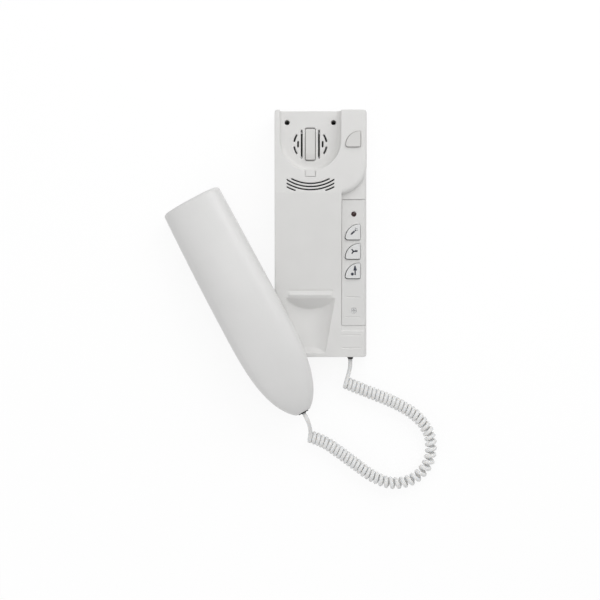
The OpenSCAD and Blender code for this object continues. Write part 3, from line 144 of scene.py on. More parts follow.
class NodeSheet:
    """A material's node tree, with short calls to add and link its nodes."""

    def __init__(self, name: str) -> None:
        """Makes an empty material with a principled shader.

        Args:
            name: Name of the material.
        """
        self.material = bpy.data.materials.new(name)
        self.material.use_nodes = True
        self.nodes = self.material.node_tree.nodes
        self.links = self.material.node_tree.links
        self.shader = self.nodes["Principled BSDF"]
        self.place = self.nodes.new("ShaderNodeTexCoord").outputs["Object"]

    def add(self, kind: str, **values: object) -> bpy.types.Node:
        """Adds a node and sets its inputs or its properties.

        Args:
            kind: Blender's name of the node type.
            **values: Input or property names, with underscores for spaces, and their values.

        Returns:
            The new node.
        """
        node = self.nodes.new(kind)
        self.fill(node, **values)
        return node

    def fill(self, node: bpy.types.Node, **values: object) -> None:
        """Sets a node's inputs or its properties.

        Args:
            node: The node.
            **values: As for add.
        """
        for key, value in values.items():
            socket = key.replace("_", " ").title()
            if socket in node.inputs:
                node.inputs[socket].default_value = value
            else:
                setattr(node, key, value)

    def join(self, source: Socket, node: bpy.types.Node, socket: str | int) -> None:
        """Links an output to a node's input."""
        self.links.new(source, node.inputs[socket])

    def noise(self, size: float, detail: float = 3.0, stretch: Point = EVEN) -> Socket:
        """Adds a noise whose spots have a size in metres.

        Args:
            size: Typical size of a spot.
            detail: Octaves of the noise.
            stretch: Scale of the coordinates along each axis.

        Returns:
            The noise's value, around 0.5.
        """
        mapping = self.add("ShaderNodeMapping", scale=stretch)
        self.join(self.place, mapping, "Vector")
        noise = self.add("ShaderNodeTexNoise", scale=1.0 / size, detail=detail)
        self.join(mapping.outputs[0], noise, "Vector")
        return noise.outputs[0]

    def ranged(
        self, source: Socket, low: float, high: float, span: tuple[float, float] = NOISE_SPAN
    ) -> Socket:
        """Maps a span of a value to a range.

        Args:
            source: The value, such as a noise.
            low: Result at the span's first end.
            high: Result at its second end.
            span: The value at the two ends.

        Returns:
            The mapped value.
        """
        start, end = span
        node = self.add("ShaderNodeMapRange", from_min=start, from_max=end, to_min=low, to_max=high)
        self.join(source, node, "Value")
        return node.outputs[0]

    def mixed(self, factor: Socket, first: Colour | Socket, second: Colour) -> Socket:
        """Mixes two colours by a factor.

        Args:
            factor: Share of the second colour.
            first: Colour at 0, or the output that gives it.
            second: Colour at 1.

        Returns:
            The mixed colour.
        """
        mix = self.add("ShaderNodeMix", data_type="RGBA")
        if isinstance(first, tuple):
            mix.inputs[6].default_value = (*first, 1.0)
        else:
            self.join(first, mix, 6)
        mix.inputs[7].default_value = (*second, 1.0)
        self.join(factor, mix, 0)
        return mix.outputs[2]

    def bump(self, height: Socket, depth: float) -> None:
        """Gives the shader a fine relief.

        Args:
            height: Relief from 0 to 1.
            depth: Height of the relief in metres.
        """
        node = self.add("ShaderNodeBump", strength=1.0, distance=depth)
        self.join(height, node, "Height")
        self.join(node.outputs[0], self.shader, "Normal")


# Colour that hollow corners darken towards by their ambient occlusion: painted shade, also standing for
# dust.
DUST_AND_SHADE_COLOUR: Colour = (0.30, 0.285, 0.265)
CORNER_SPAN = (0.85, 0.35)
CORNER_SAMPLES = 6
PATTERN_SCALES = {Detail.TRACKS: 160.0, Detail.GAUZE: 1600.0}
PATTERN_LIFT = 0.9
PATTERN_LINE = 0.03
PATTERN_BLUR = 0.1
SOFT_TINT: Colour = (1.0, 0.95, 0.90)
ROUGH_SPOT_SHARE = 0.35
ROUGH_OCTAVES = 5.0
GRAIN_OCTAVES = 2.0
LEAST_ROUGHNESS = 0.02


@dataclass(frozen=True)
class Finish:
    """A surface finish, made into one procedural material.

    The colour drifts by mottle over mottle_size, the roughness by rough_drift, and the relief of
    the chosen detail has spots of grain_size and a depth of grain_depth, in metres. A soft share
    of the light goes soft_depth into the surface.
    """

    name: str
    colour: Colour
    roughness: float
    detail: Detail = Detail.MOULDED
    metallic: float = 0.0
    mottle: float = 0.04
    mottle_size: float = 0.02
    rough_drift: float = 0.06
    grain_size: float = 0.0006
    grain_depth: float = 0.000008
    # Painted shade, also standing for dust: how strongly hollow corners darken by their ambient
    # occlusion; the next field is how far the occlusion looks.
    corner_dust_and_shade: float = 0.0
    corner_shade_reach: float = 0.0012
    coat: float = 0.0
    see_through: float = 0.0
    soft: float = 0.0
    soft_depth: float = 0.003

    def drift(self, by: float) -> Colour:
        """Makes the finish's colour lighter or darker by a share."""
        return tuple(min(1.0, c * (1.0 + by)) for c in self.colour)

    def material(self) -> bpy.types.Material:
        """Makes the material, or finds it where it was made before.

        Returns:
            The material.
        """
        known = bpy.data.materials.get(self.name)
        if known is not None:
            return known
        sheet = NodeSheet(self.name)
        shader = sheet.shader
        sheet.fill(shader, metallic=self.metallic, coat_weight=self.coat)
        sheet.fill(shader, transmission_weight=self.see_through, subsurface_weight=self.soft)
        sheet.fill(shader, subsurface_radius=SOFT_TINT, subsurface_scale=self.soft_depth)
        drift = sheet.ranged(sheet.noise(self.mottle_size), 0.0, 1.0)
        colour = sheet.mixed(drift, self.drift(-self.mottle), self.drift(self.mottle))
        colour = self.darken_corners_with_dust_and_shade(sheet, colour)
        colour = self.patterned(sheet, colour)
        sheet.join(colour, shader, "Base Color")
        rough = sheet.noise(self.mottle_size * ROUGH_SPOT_SHARE, ROUGH_OCTAVES)
        low = max(LEAST_ROUGHNESS, self.roughness - self.rough_drift)
        sheet.join(sheet.ranged(rough, low, self.roughness + self.rough_drift), shader, "Roughness")
        stretch = LENGTHWISE if self.detail in (Detail.BRUSHED, Detail.FIBRE) else EVEN
        sheet.bump(sheet.noise(self.grain_size, GRAIN_OCTAVES, stretch), self.grain_depth)
        return sheet.material

    def darken_corners_with_dust_and_shade(self, sheet: NodeSheet, colour: Socket) -> Socket:
        """Darkens the colour in hollow corners by their ambient occlusion, as painted shade that also
        stands for dust.

        Args:
            sheet: Node tree of the material.
            colour: Colour so far.

        Returns:
            The colour with its painted corner shade and dust.
        """
        if self.corner_dust_and_shade <= 0.0:
            return colour
        # Ambient occlusion marks where shade falls, and the colour is darkened there: painted shade.
        corner = sheet.add("ShaderNodeAmbientOcclusion", samples=CORNER_SAMPLES, only_local=True)
        sheet.fill(corner, distance=self.corner_shade_reach)
        hollow = sheet.ranged(corner.outputs["AO"], 0.0, self.corner_dust_and_shade, CORNER_SPAN)
        return sheet.mixed(hollow, colour, DUST_AND_SHADE_COLOUR)

    def patterned(self, sheet: NodeSheet, colour: Socket) -> Socket:
        """Lays copper tracks under a board's varnish, or the threads of a gauze.

        Args:
            sheet: Node tree of the material.
            colour: Colour so far.

        Returns:
            The colour with the pattern that the finish's detail asks for.
        """
        scale = PATTERN_SCALES.get(self.detail)
        if scale is None:
            return colour
        bricks = sheet.add("ShaderNodeTexBrick", scale=scale)
        sheet.fill(bricks, mortar_size=PATTERN_LINE, mortar_smooth=PATTERN_BLUR)
        sheet.join(sheet.place, bricks, "Vector")
        return sheet.mixed(bricks.outputs["Fac"], colour, self.drift(PATTERN_LIFT))


SHELL_WHITE = Finish("shell_white", (0.782, 0.777, 0.765), 0.36, mottle=0.012, corner_dust_and_shade=0.25)
PANEL_WHITE = Finish("panel_white", (0.757, 0.753, 0.742), 0.40, mottle=0.012, corner_dust_and_shade=0.2)
KEY_WHITE = Finish(
    "key_white", (0.775, 0.778, 0.777), 0.30, mottle=0.010, corner_dust_and_shade=0.25, grain_depth=0.000004
)
# A darker copy of the white plastic for the hook lever and the top button: painted shade.
SHADED_HOOK_WHITE = Finish("hook_white_painted_shade", (0.715, 0.708, 0.692), 0.40, mottle=0.012, corner_dust_and_shade=0.3)
HANDSET_WHITE = Finish(
    "handset_white", (0.796, 0.793, 0.786), 0.31, mottle=0.008, rough_drift=0.008, grain_depth=0.000005
)
GRILLE_GREY = Finish("grille_grey", (0.62, 0.62, 0.61), 0.45)
CORD_WHITE = Finish("cord_white", (0.900, 0.900, 0.893), 0.48, mottle=0.02, mottle_size=0.008, soft=0.5)
SOFT_BLACK = Finish("soft_black", (0.022, 0.022, 0.024), 0.60, mottle=0.2, grain_size=0.0004)
BLACK_PLASTIC = Finish("black_plastic", (0.028, 0.028, 0.031), 0.48, mottle=0.15)
GAUZE_BLACK = Finish(
    "gauze_black", (0.016, 0.016, 0.018), 0.75, Detail.GAUZE, mottle=0.2, mottle_size=0.004
)
PRINT_INK = Finish("print_ink", (0.030, 0.034, 0.055), 0.42, mottle=0.2, mottle_size=0.003)
LENS_RED = Finish("lens_red", (0.030, 0.007, 0.006), 0.16, mottle=0.15, mottle_size=0.002, coat=0.2)
LAMP_RED = Finish("lamp_red", (0.40, 0.04, 0.035), 0.15, mottle=0.1, see_through=0.5)
BOARD_GREEN = Finish("board_green", (0.020, 0.105, 0.042), 0.35, detail=Detail.TRACKS, coat=0.5)
TERMINAL_GREEN = Finish("terminal_green", (0.045, 0.190, 0.090), 0.50, mottle=0.08)
SLEEVE_BLUE = Finish("sleeve_blue", (0.018, 0.040, 0.095), 0.35, mottle=0.1)
CREAM_PLASTIC = Finish("cream_plastic", (0.66, 0.60, 0.44), 0.50, mottle=0.05)
PLATED_STEEL = Finish(
    "plated_steel", (0.56, 0.56, 0.57), 0.28, Detail.BRUSHED, 1.0, mottle=0.1, grain_size=0.002
)
MAGNET_IRON = Finish(
    "magnet_iron", (0.09, 0.09, 0.095), 0.55, metallic=0.8, mottle=0.25, mottle_size=0.003
)
CONE_FILM = Finish("cone_film", (0.030, 0.028, 0.025), 0.60, Detail.FIBRE, mottle=0.25, grain_size=0.001)
LEAD_RED = Finish("lead_red", (0.30, 0.035, 0.025), 0.40, mottle=0.1, mottle_size=0.004)


# Mesh making


def add_piece(name: str, mesh: Mesh, finish: Finish) -> Piece:
    """Puts a mesh into the scene as a smooth-shaded piece with a finish.

    Args:
        name: Name of the piece.
        mesh: Its mesh, in the row frame.
        finish: Its finish.

    Returns:
        The new object.
    """
    piece = bpy.data.objects.new(name, mesh)
    bpy.context.scene.collection.objects.link(piece)
    mesh.materials.clear()
    mesh.materials.append(finish.material())
    mesh.polygons.foreach_set("use_smooth", [True] * len(mesh.polygons))
    return piece


def mesh_from(name: str, points: list[Vector], faces: list[Face]) -> Mesh:
    """Makes a mesh from points and faces, with its normals outwards.

    Args:
        name: Name of the mesh.
        points: Its vertices in metres.
        faces: Its faces as tuples of vertex numbers.

    Returns:
        The mesh.
    """
    mesh = bpy.data.meshes.new(name)
    mesh.from_pydata([tuple(p) for p in points], [], faces)
    form = bmesh.new()
    form.from_mesh(mesh)
    bmesh.ops.recalc_face_normals(form, faces=form.faces)
    form.to_mesh(mesh)
    form.free()
    return mesh


def apply_modifiers(piece: Piece) -> None:
    """Replaces a piece's mesh by what its modifiers make of it.

    Args:
        piece: Object whose modifiers are applied and removed.
    """
    bpy.context.view_layer.update()
    graph = bpy.context.evaluated_depsgraph_get()
    made = bpy.data.meshes.new_from_object(piece.evaluated_get(graph))
    piece.modifiers.clear()
    piece.data = made


def stand_for(piece: Piece, node: str) -> Piece:
    """Lets a piece ride with a CAD node's body and stand for that node, which is hidden.

    Args:
        piece: The new piece.
        node: The CAD node that it replaces.

    Returns:
        The piece.
    """
    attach(piece, body_of(node))
    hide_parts(node)
    LOG.info("piece %s stands for %s", piece.name, node)
    return piece


def moulded_copy(node: str, finish: Finish, voxel: float, passes: int, keep: float = 0.3) -> None:
    """Makes a piece with the node's form and the soft edges of a moulding.

    Args:
        node: CAD node whose form is taken.
        finish: Finish of the piece.
        voxel: Size of the new mesh's faces in metres.
        passes: Smoothing passes, which set the radius of the edges.
        keep: Share of the faces that is kept, most of them on the curves.
    """
    piece = add_piece(node + "_moulding", frame["nodes"][node].data.copy(), finish)
    remesh = piece.modifiers.new("even_mesh", "REMESH")
    remesh.mode = "VOXEL"
    remesh.voxel_size = voxel
    remesh.use_smooth_shade = True
    soften = piece.modifiers.new("soft_edges", "SMOOTH")
    soften.factor = SOFTENING
    soften.iterations = passes
    lighten = piece.modifiers.new("fewer_faces", "DECIMATE")
    lighten.ratio = keep
    apply_modifiers(piece)
    LOG.info("piece %s has %d faces", piece.name, len(piece.data.polygons))
    stand_for(piece, node)


def merge_specks(mesh: Mesh) -> None:
    """Merges points that all but coincide, removes flat faces and keeps corners crisp.

    Args:
        mesh: The mesh, which is changed.
    """
    form = bmesh.new()
    form.from_mesh(mesh)
    bmesh.ops.remove_doubles(form, verts=form.verts, dist=SPECK)
    bmesh.ops.dissolve_degenerate(form, dist=SPECK, edges=form.edges)
    form.to_mesh(mesh)
    form.free()
    mesh.set_sharp_from_angle(angle=math.radians(CRISP_ANGLE))


def clean_copy(node: str, finish: Finish) -> None:
    """Makes a piece with the node's form, without the flat faces at the tops of its domes.

    Args:
        node: The CAD node that it replaces.
        finish: Its finish.
    """
    piece = add_piece(node + "_dome", frame["nodes"][node].data.copy(), finish)
    merge_specks(piece.data)
    stand_for(piece, node)


def dress(node: str, finish: Finish) -> None:
    """Gives a CAD node that stays in view its finish.

    Args:
        node: Name of the node.
        finish: Its finish.
    """
    mesh = frame["nodes"][node].data
    mesh.materials.clear()
    mesh.materials.append(finish.material())
    LOG.info("node %s dressed in %s", node, finish.name)


def tube(name: str, line: list[Vector], refs: list[Vector], radius: float, sides: int) -> Mesh:
    """Sweeps a round section along a line.

    Args:
        name: Name of the mesh.
        line: Points of the tube's mid line.
        refs: A direction across the line at each point.
        radius: Radius of the tube.
        sides: Number of its sides.

    Returns:
        The closed tube's mesh.
    """
    points: list[Vector] = []
    last = len(line) - 1
    for i, middle in enumerate(line):
        along = (line[min(i + 1, last)] - line[max(i - 1, 0)]).normalized()
        across = refs[i].cross(along).normalized()
        up = along.cross(across)
        for j in range(sides):
            angle = 2 * math.pi * j / sides
            points.append(middle + radius * (across * math.cos(angle) + up * math.sin(angle)))
    faces: list[Face] = []
    for i in range(last):
        for j in range(sides):
            k = (j + 1) % sides
            faces.append((i * sides + j, i * sides + k, (i + 1) * sides + k, (i + 1) * sides + j))
    faces.append(tuple(range(sides)))
    faces.append(tuple(last * sides + j for j in range(sides)))
    return mesh_from(name, points, faces)


# Studio


@dataclass(frozen=True)
class SoftBox:
    """A square soft lamp: its place and side in metres, and its power in watts."""

    name: str
    place: Point
    side: float
    watts: float


SOFT_BOXES = (
    SoftBox("key_box", (0.75, 0.80, 0.85), 0.8, 3.2),
    SoftBox("near_box", (0.15, 0.75, 0.60), 0.6, 1.4),
    SoftBox("left_box", (-0.80, -0.90, 0.65), 1.0, 2.2),
    SoftBox("right_box", (1.00, 0.62, 0.24), 0.6, 0.8),
    SoftBox("over_box", (0.08, 0.60, 1.85), 0.6, 1.75),
    SoftBox("wide_box", (-0.42, 0.34, 1.80), 0.6, 1.65),
)


@dataclass
class Studio:
    """Camera over the photograph's middle, soft lamps and a white floor."""

    look_x: float = -0.01845
    look_y: float = -0.0591
    height: float = 1.378
    focal: float = 91.07
    sensor: float = 36.0
    nearest: float = 0.01
    farthest: float = 50.0
    floor_size: float = 40.0
    floor_drop: float = 0.0004
    floor_glow: float = 0.87
    floor_white: float = 0.15
    floor_bounce: float = 0.55
    floor_rough: float = 0.9
    shade_x: float = 0.039
    shade_y: float = 0.108
    sky: float = 0.55

    def camera(self) -> None:
        """Hangs the camera straight above the object, as the photograph was taken."""
        lens = bpy.data.cameras.new("photo_camera")
        lens.lens = self.focal
        lens.sensor_width = self.sensor
        lens.clip_start = self.nearest
        lens.clip_end = self.farthest
        camera = bpy.data.objects.new("photo_camera", lens)
        camera.location = (self.look_x, self.look_y, self.height)
        bpy.context.scene.collection.objects.link(camera)
        bpy.context.scene.camera = camera

    def lamp(self, box: SoftBox) -> None:
        """Hangs a soft box and turns it to the object.

        Args:
            box: The soft box.
        """
        light = bpy.data.lights.new(box.name, "AREA")
        light.size = box.side
        light.energy = box.watts
        lamp = bpy.data.objects.new(box.name, light)
        lamp.location = box.place
        aim = Vector((self.look_x, self.look_y, 0.0)) - Vector(box.place)
        lamp.rotation_euler = aim.to_track_quat("-Z", "Y").to_euler()
        bpy.context.scene.collection.objects.link(lamp)

    def lamps(self) -> None:
        """Lights the object softly from all round, a little more from the upper right."""
        for box in SOFT_BOXES:
            self.lamp(box)
        world = bpy.data.worlds.new("soft_room")
        world.use_nodes = True
        sky = world.node_tree.nodes["Background"]
        sky.inputs["Color"].default_value = WHITE
        sky.inputs["Strength"].default_value = self.sky
        bpy.context.scene.world = world
        bpy.context.scene.view_settings.view_transform = "Standard"

    def floor_paint(self, name: str, glow: float) -> bpy.types.Material:
        """Makes the floor's white, which glows to the camera and in reflections and bounces soft light.

        Args:
            name: Name of the material.
            glow: Strength of the glow.

        Returns:
            The material.
        """
        sheet = NodeSheet(name)
        sheet.fill(sheet.shader, roughness=self.floor_rough, emission_color=WHITE)
        sheet.shader.inputs["Specular IOR Level"].default_value = 0.0
        rays = sheet.add("ShaderNodeLightPath").outputs
        paint = sheet.mixed(rays["Is Diffuse Ray"], (self.floor_white,) * 3, (self.floor_bounce,) * 3)
        sheet.join(paint, sheet.shader, "Base Color")
        seen = rays["Is Camera Ray"]
        for kind in ("Is Glossy Ray", "Is Transmission Ray"):
            either = sheet.add("ShaderNodeMath", operation="MAXIMUM")
            sheet.join(seen, either, 0)
            sheet.join(rays[kind], either, 1)
            seen = either.outputs[0]
        strength = sheet.add("ShaderNodeMath", operation="MULTIPLY")
        strength.inputs[1].default_value = glow
        sheet.join(seen, strength, 0)
        sheet.join(strength.outputs[0], sheet.shader, "Emission Strength")
        return sheet.material

    def floor(self) -> None:
        """Lays the white floor; under the wall unit it has no glow, so the unit's holes look dark."""
        half = self.floor_size / 2
        xs = (-half, -self.shade_x, self.shade_x, half)
        ys = (-half, -self.shade_y, self.shade_y, half)
        corners = [Vector((x, y, -self.floor_drop)) for y in ys for x in xs]
        row = len(xs)
        firsts = [row * j + i for j in range(row - 1) for i in range(row - 1)]
        tiles = [(a, a + 1, a + row + 1, a + row) for a in firsts]
        mesh = mesh_from("white_floor", corners, tiles)
        mesh.materials.append(self.floor_paint("white_floor", self.floor_glow))
        mesh.materials.append(self.floor_paint("floor_under_unit", 0.0))
        mesh.polygons[len(tiles) // 2].material_index = 1
        floor = bpy.data.objects.new("white_floor", mesh)
        bpy.context.scene.collection.objects.link(floor)

    def build(self) -> None:
        """Sets up the camera, the lamps and the floor."""
        self.camera()
        self.lamps()
        self.floor()
        LOG.info("studio ready")


# Handset


@dataclass
class HandsetForm:
    """Shape and rest pose of the handset, in millimetres, with s from its earpiece end to its tip."""

    length: float = 214.0
    width: float = 58.0
    end_width: float = 55.6
    back_h: float = 19.0
    end_back_h: float = 15.0
    bow: float = 6.0
    shell_t: float = 2.2
    end_r: float = 3.0
    narrow_from: float = 107.0
    apex_over: float = 3.0
    face_step: float = 1.8
    part_gap: float = 0.2
    grip_d: float = 5.0
    ear_d: float = 14.0
    mouthpiece_d: float = 13.0
    mouthpiece_from: float = 176.0
    ear_s: float = 27.0
    plan_power: float = 3.78
    plan_root: float = 1 / 1.6
    back_power: float = 3.0
    back_root: float = 0.55
    arch_power: float = 2.6
    ridge_h: float = 1.2
    ridge_soft: float = 0.14
    ridge_from: float = 85.6
    ridge_run: float = 59.92
    face_power: float = 8.0
    ear_blend: float = 9.0
    ear_shoulder: float = 18.0
    ear_round: float = 1.0
    mouth_blend: float = 9.0
    mouth_flat: float = 12.0
    mouth_tip_d: float = 7.0
    mouth_over: float = 4.0
    face_from: float = 1.2
    tip_bush_w: float = -1.0
    lean_angle: float = 28.3
    lean_room: float = 2.4
    lean_edge_share: float = 0.85
    lean_end_share: float = 0.6
    rest_gap: float = 0.3
    rest_z: float = 24.0
    unit_left: float = -41.0
    unit_foot: float = -110.0

    def end_loss(self, s: float) -> float:
        """Loss of size within the rounding at the earpiece end."""
        if s >= self.end_r:
            return 0.0
        return self.end_r - math.sqrt(self.end_r**2 - (self.end_r - s) ** 2)

    def narrowing(self, s: float) -> float:
        """Share of the way from the widest place to the tip's apex."""
        return clamp01((s - self.narrow_from) / (self.length + self.apex_over - self.narrow_from))

    def parting(self, s: float) -> float:
        """Height of the parting line over its ends."""
        bow_r = ((self.length / 2) ** 2 + self.bow**2) / (2 * self.bow)
        return math.sqrt(bow_r**2 - (s - self.length / 2) ** 2) - (bow_r - self.bow)

    def half_width(self, s: float) -> float:
        """Half of the handset's width at s."""
        end = self.end_width / 2
        full = end + (self.width / 2 - end) * math.sin(math.pi / 2 * clamp01(s / self.narrow_from))
        return full * (1 - self.narrowing(s) ** self.plan_power) ** self.plan_root - self.end_loss(s)

    def back_height(self, s: float) -> float:
        """Height of the back over the parting line at s."""
        rise = math.sin(math.pi / 2 * clamp01(s / self.narrow_from))
        full = self.end_back_h + (self.back_h - self.end_back_h) * rise
        return full * (1 - self.narrowing(s) ** self.back_power) ** self.back_root - self.end_loss(s)

    def ridge_rise(self, s: float, share: float) -> float:
        """Rise of the back's soft ridge at a share of the half width from the middle."""
        soft = self.ridge_soft
        slope = (math.hypot(share, soft) - soft) / (math.hypot(1, soft) - soft)
        return self.ridge_h * (1 - ease((s - self.ridge_from) / self.ridge_run)) * (1 - slope)

    def ear_share(self, u: float, s: float) -> float:
        """Share of the earpiece's depth that the face reaches at a point."""
        if s < self.ear_s:
            return 1.0
        across = self.ear_shoulder * math.sin(math.pi / 2 * clamp01(abs(u) / (self.end_width / 2)))
        return ease((self.ear_s + self.ear_round - math.hypot(across, s - self.ear_s)) / self.ear_blend)

    def mouth_bottom(self, s: float) -> float:
        """Level of the mouthpiece's underside at s."""
        low_s = self.mouthpiece_from + self.mouth_blend + self.mouth_flat
        share = ease((s - low_s) / (self.length + self.mouth_over - low_s))
        return -self.mouthpiece_d + (self.mouthpiece_d - self.mouth_tip_d) * share

    def face_depth(self, u: float, s: float) -> float:
        """Depth of the face below the parting line at a point."""
        part = self.parting(s)
        mouth = ease((s - self.mouthpiece_from) / self.mouth_blend)
        ear = (part + self.ear_d - self.grip_d) * self.ear_share(u, s)
        return self.grip_d + ear + (part - self.mouth_bottom(s) - self.grip_d) * mouth - self.end_loss(s)

    def inner_s(self, s: float, inset: float, start: float) -> float:
        """Moves a station inwards from the earpiece end by an inset."""
        return start + inset + s * (self.length - start - inset) / self.length

    def back_point(self, s0: float, angle: float, inset: float) -> Vector:
        """Point of the back shell in the handset's own frame.

        Args:
            s0: Station along the handset.
            angle: Angle round the arch, from 0 at the right to pi at the left.
            inset: Distance inwards from the outer skin.

        Returns:
            The point in millimetres.
        """
        s = self.inner_s(s0, inset, 0.0)
        across = math.copysign(abs(math.cos(angle)) ** (2 / self.arch_power), math.cos(angle))
        up = max(0.0, math.sin(angle)) ** (2 / self.arch_power)
        height = self.parting(s) + (self.back_height(s) - inset) * up + self.ridge_rise(s, across)
        return Vector(((self.half_width(s) - inset) * across, -s, height))

    def face_point(self, s0: float, angle: float, inset: float) -> Vector:
        """Point of the face shell in the handset's own frame.

        Args:
            s0: Station along the handset.
            angle: Angle round the face, from 0 at the right to pi at the left.
            inset: Distance inwards from the outer skin.

        Returns:
            The point in millimetres.
        """
        s = self.inner_s(s0, inset, self.face_from)
        across = math.cos(angle)
        u = (self.half_width(s) - self.face_step - inset) * across
        depth = self.face_depth(u, s) - self.part_gap - inset
        drop = depth * max(0.0, 1 - abs(across) ** self.face_power) ** (1 / self.face_power)
        return Vector((u, -s, self.parting(s) - self.part_gap - drop))

    def pose(self) -> Matrix:
        """Works out how the handset lies: its earpiece end on the bench, its grip on the unit's edge.

        Returns:
            The transform from the handset's frame to the row frame, in millimetres.
        """
        angle = math.radians(self.lean_angle)
        half = self.width / 2 - self.face_step
        lean_s = self.mouthpiece_from - self.lean_room - half * math.tan(angle)
        edge_u = self.lean_edge_share * half
        run = edge_u / math.tan(angle)
        end_u = self.lean_end_share * self.end_width / 2
        lean_w = self.parting(lean_s) - self.grip_d
        drop = lean_w - (self.parting(lean_s - run) - self.grip_d)
        pitch = (self.rest_z - lean_w - self.ear_d - end_u * drop / edge_u) / (
            lean_s - self.end_r + end_u * run / edge_u
        )
        roll = (drop + run * pitch) / edge_u
        reach = lean_s * math.cos(math.asin(pitch))
        origin = Vector((
            self.unit_left - reach * math.sin(angle),
            self.unit_foot + reach * math.cos(angle),
            self.rest_z + self.rest_gap - lean_w - lean_s * pitch,
        ))
        turn = Matrix.Rotation(angle, 4, "Z") @ Matrix.Rotation(-math.asin(roll), 4, "Y")
        return Matrix.Translation(origin) @ turn @ Matrix.Rotation(-math.asin(pitch), 4, "X")


HANDSET_FINISHES: dict[str, Finish] = {
    "earpiece_grille": GRILLE_GREY,
    "earpiece_gasket": SOFT_BLACK,
    "earpiece_capsule": PLATED_STEEL,
    "microphone_capsule": PLATED_STEEL,
    "microphone_boot": SOFT_BLACK,
    "handset_screws": PLATED_STEEL,
    "handset_leads": LEAD_RED,
}


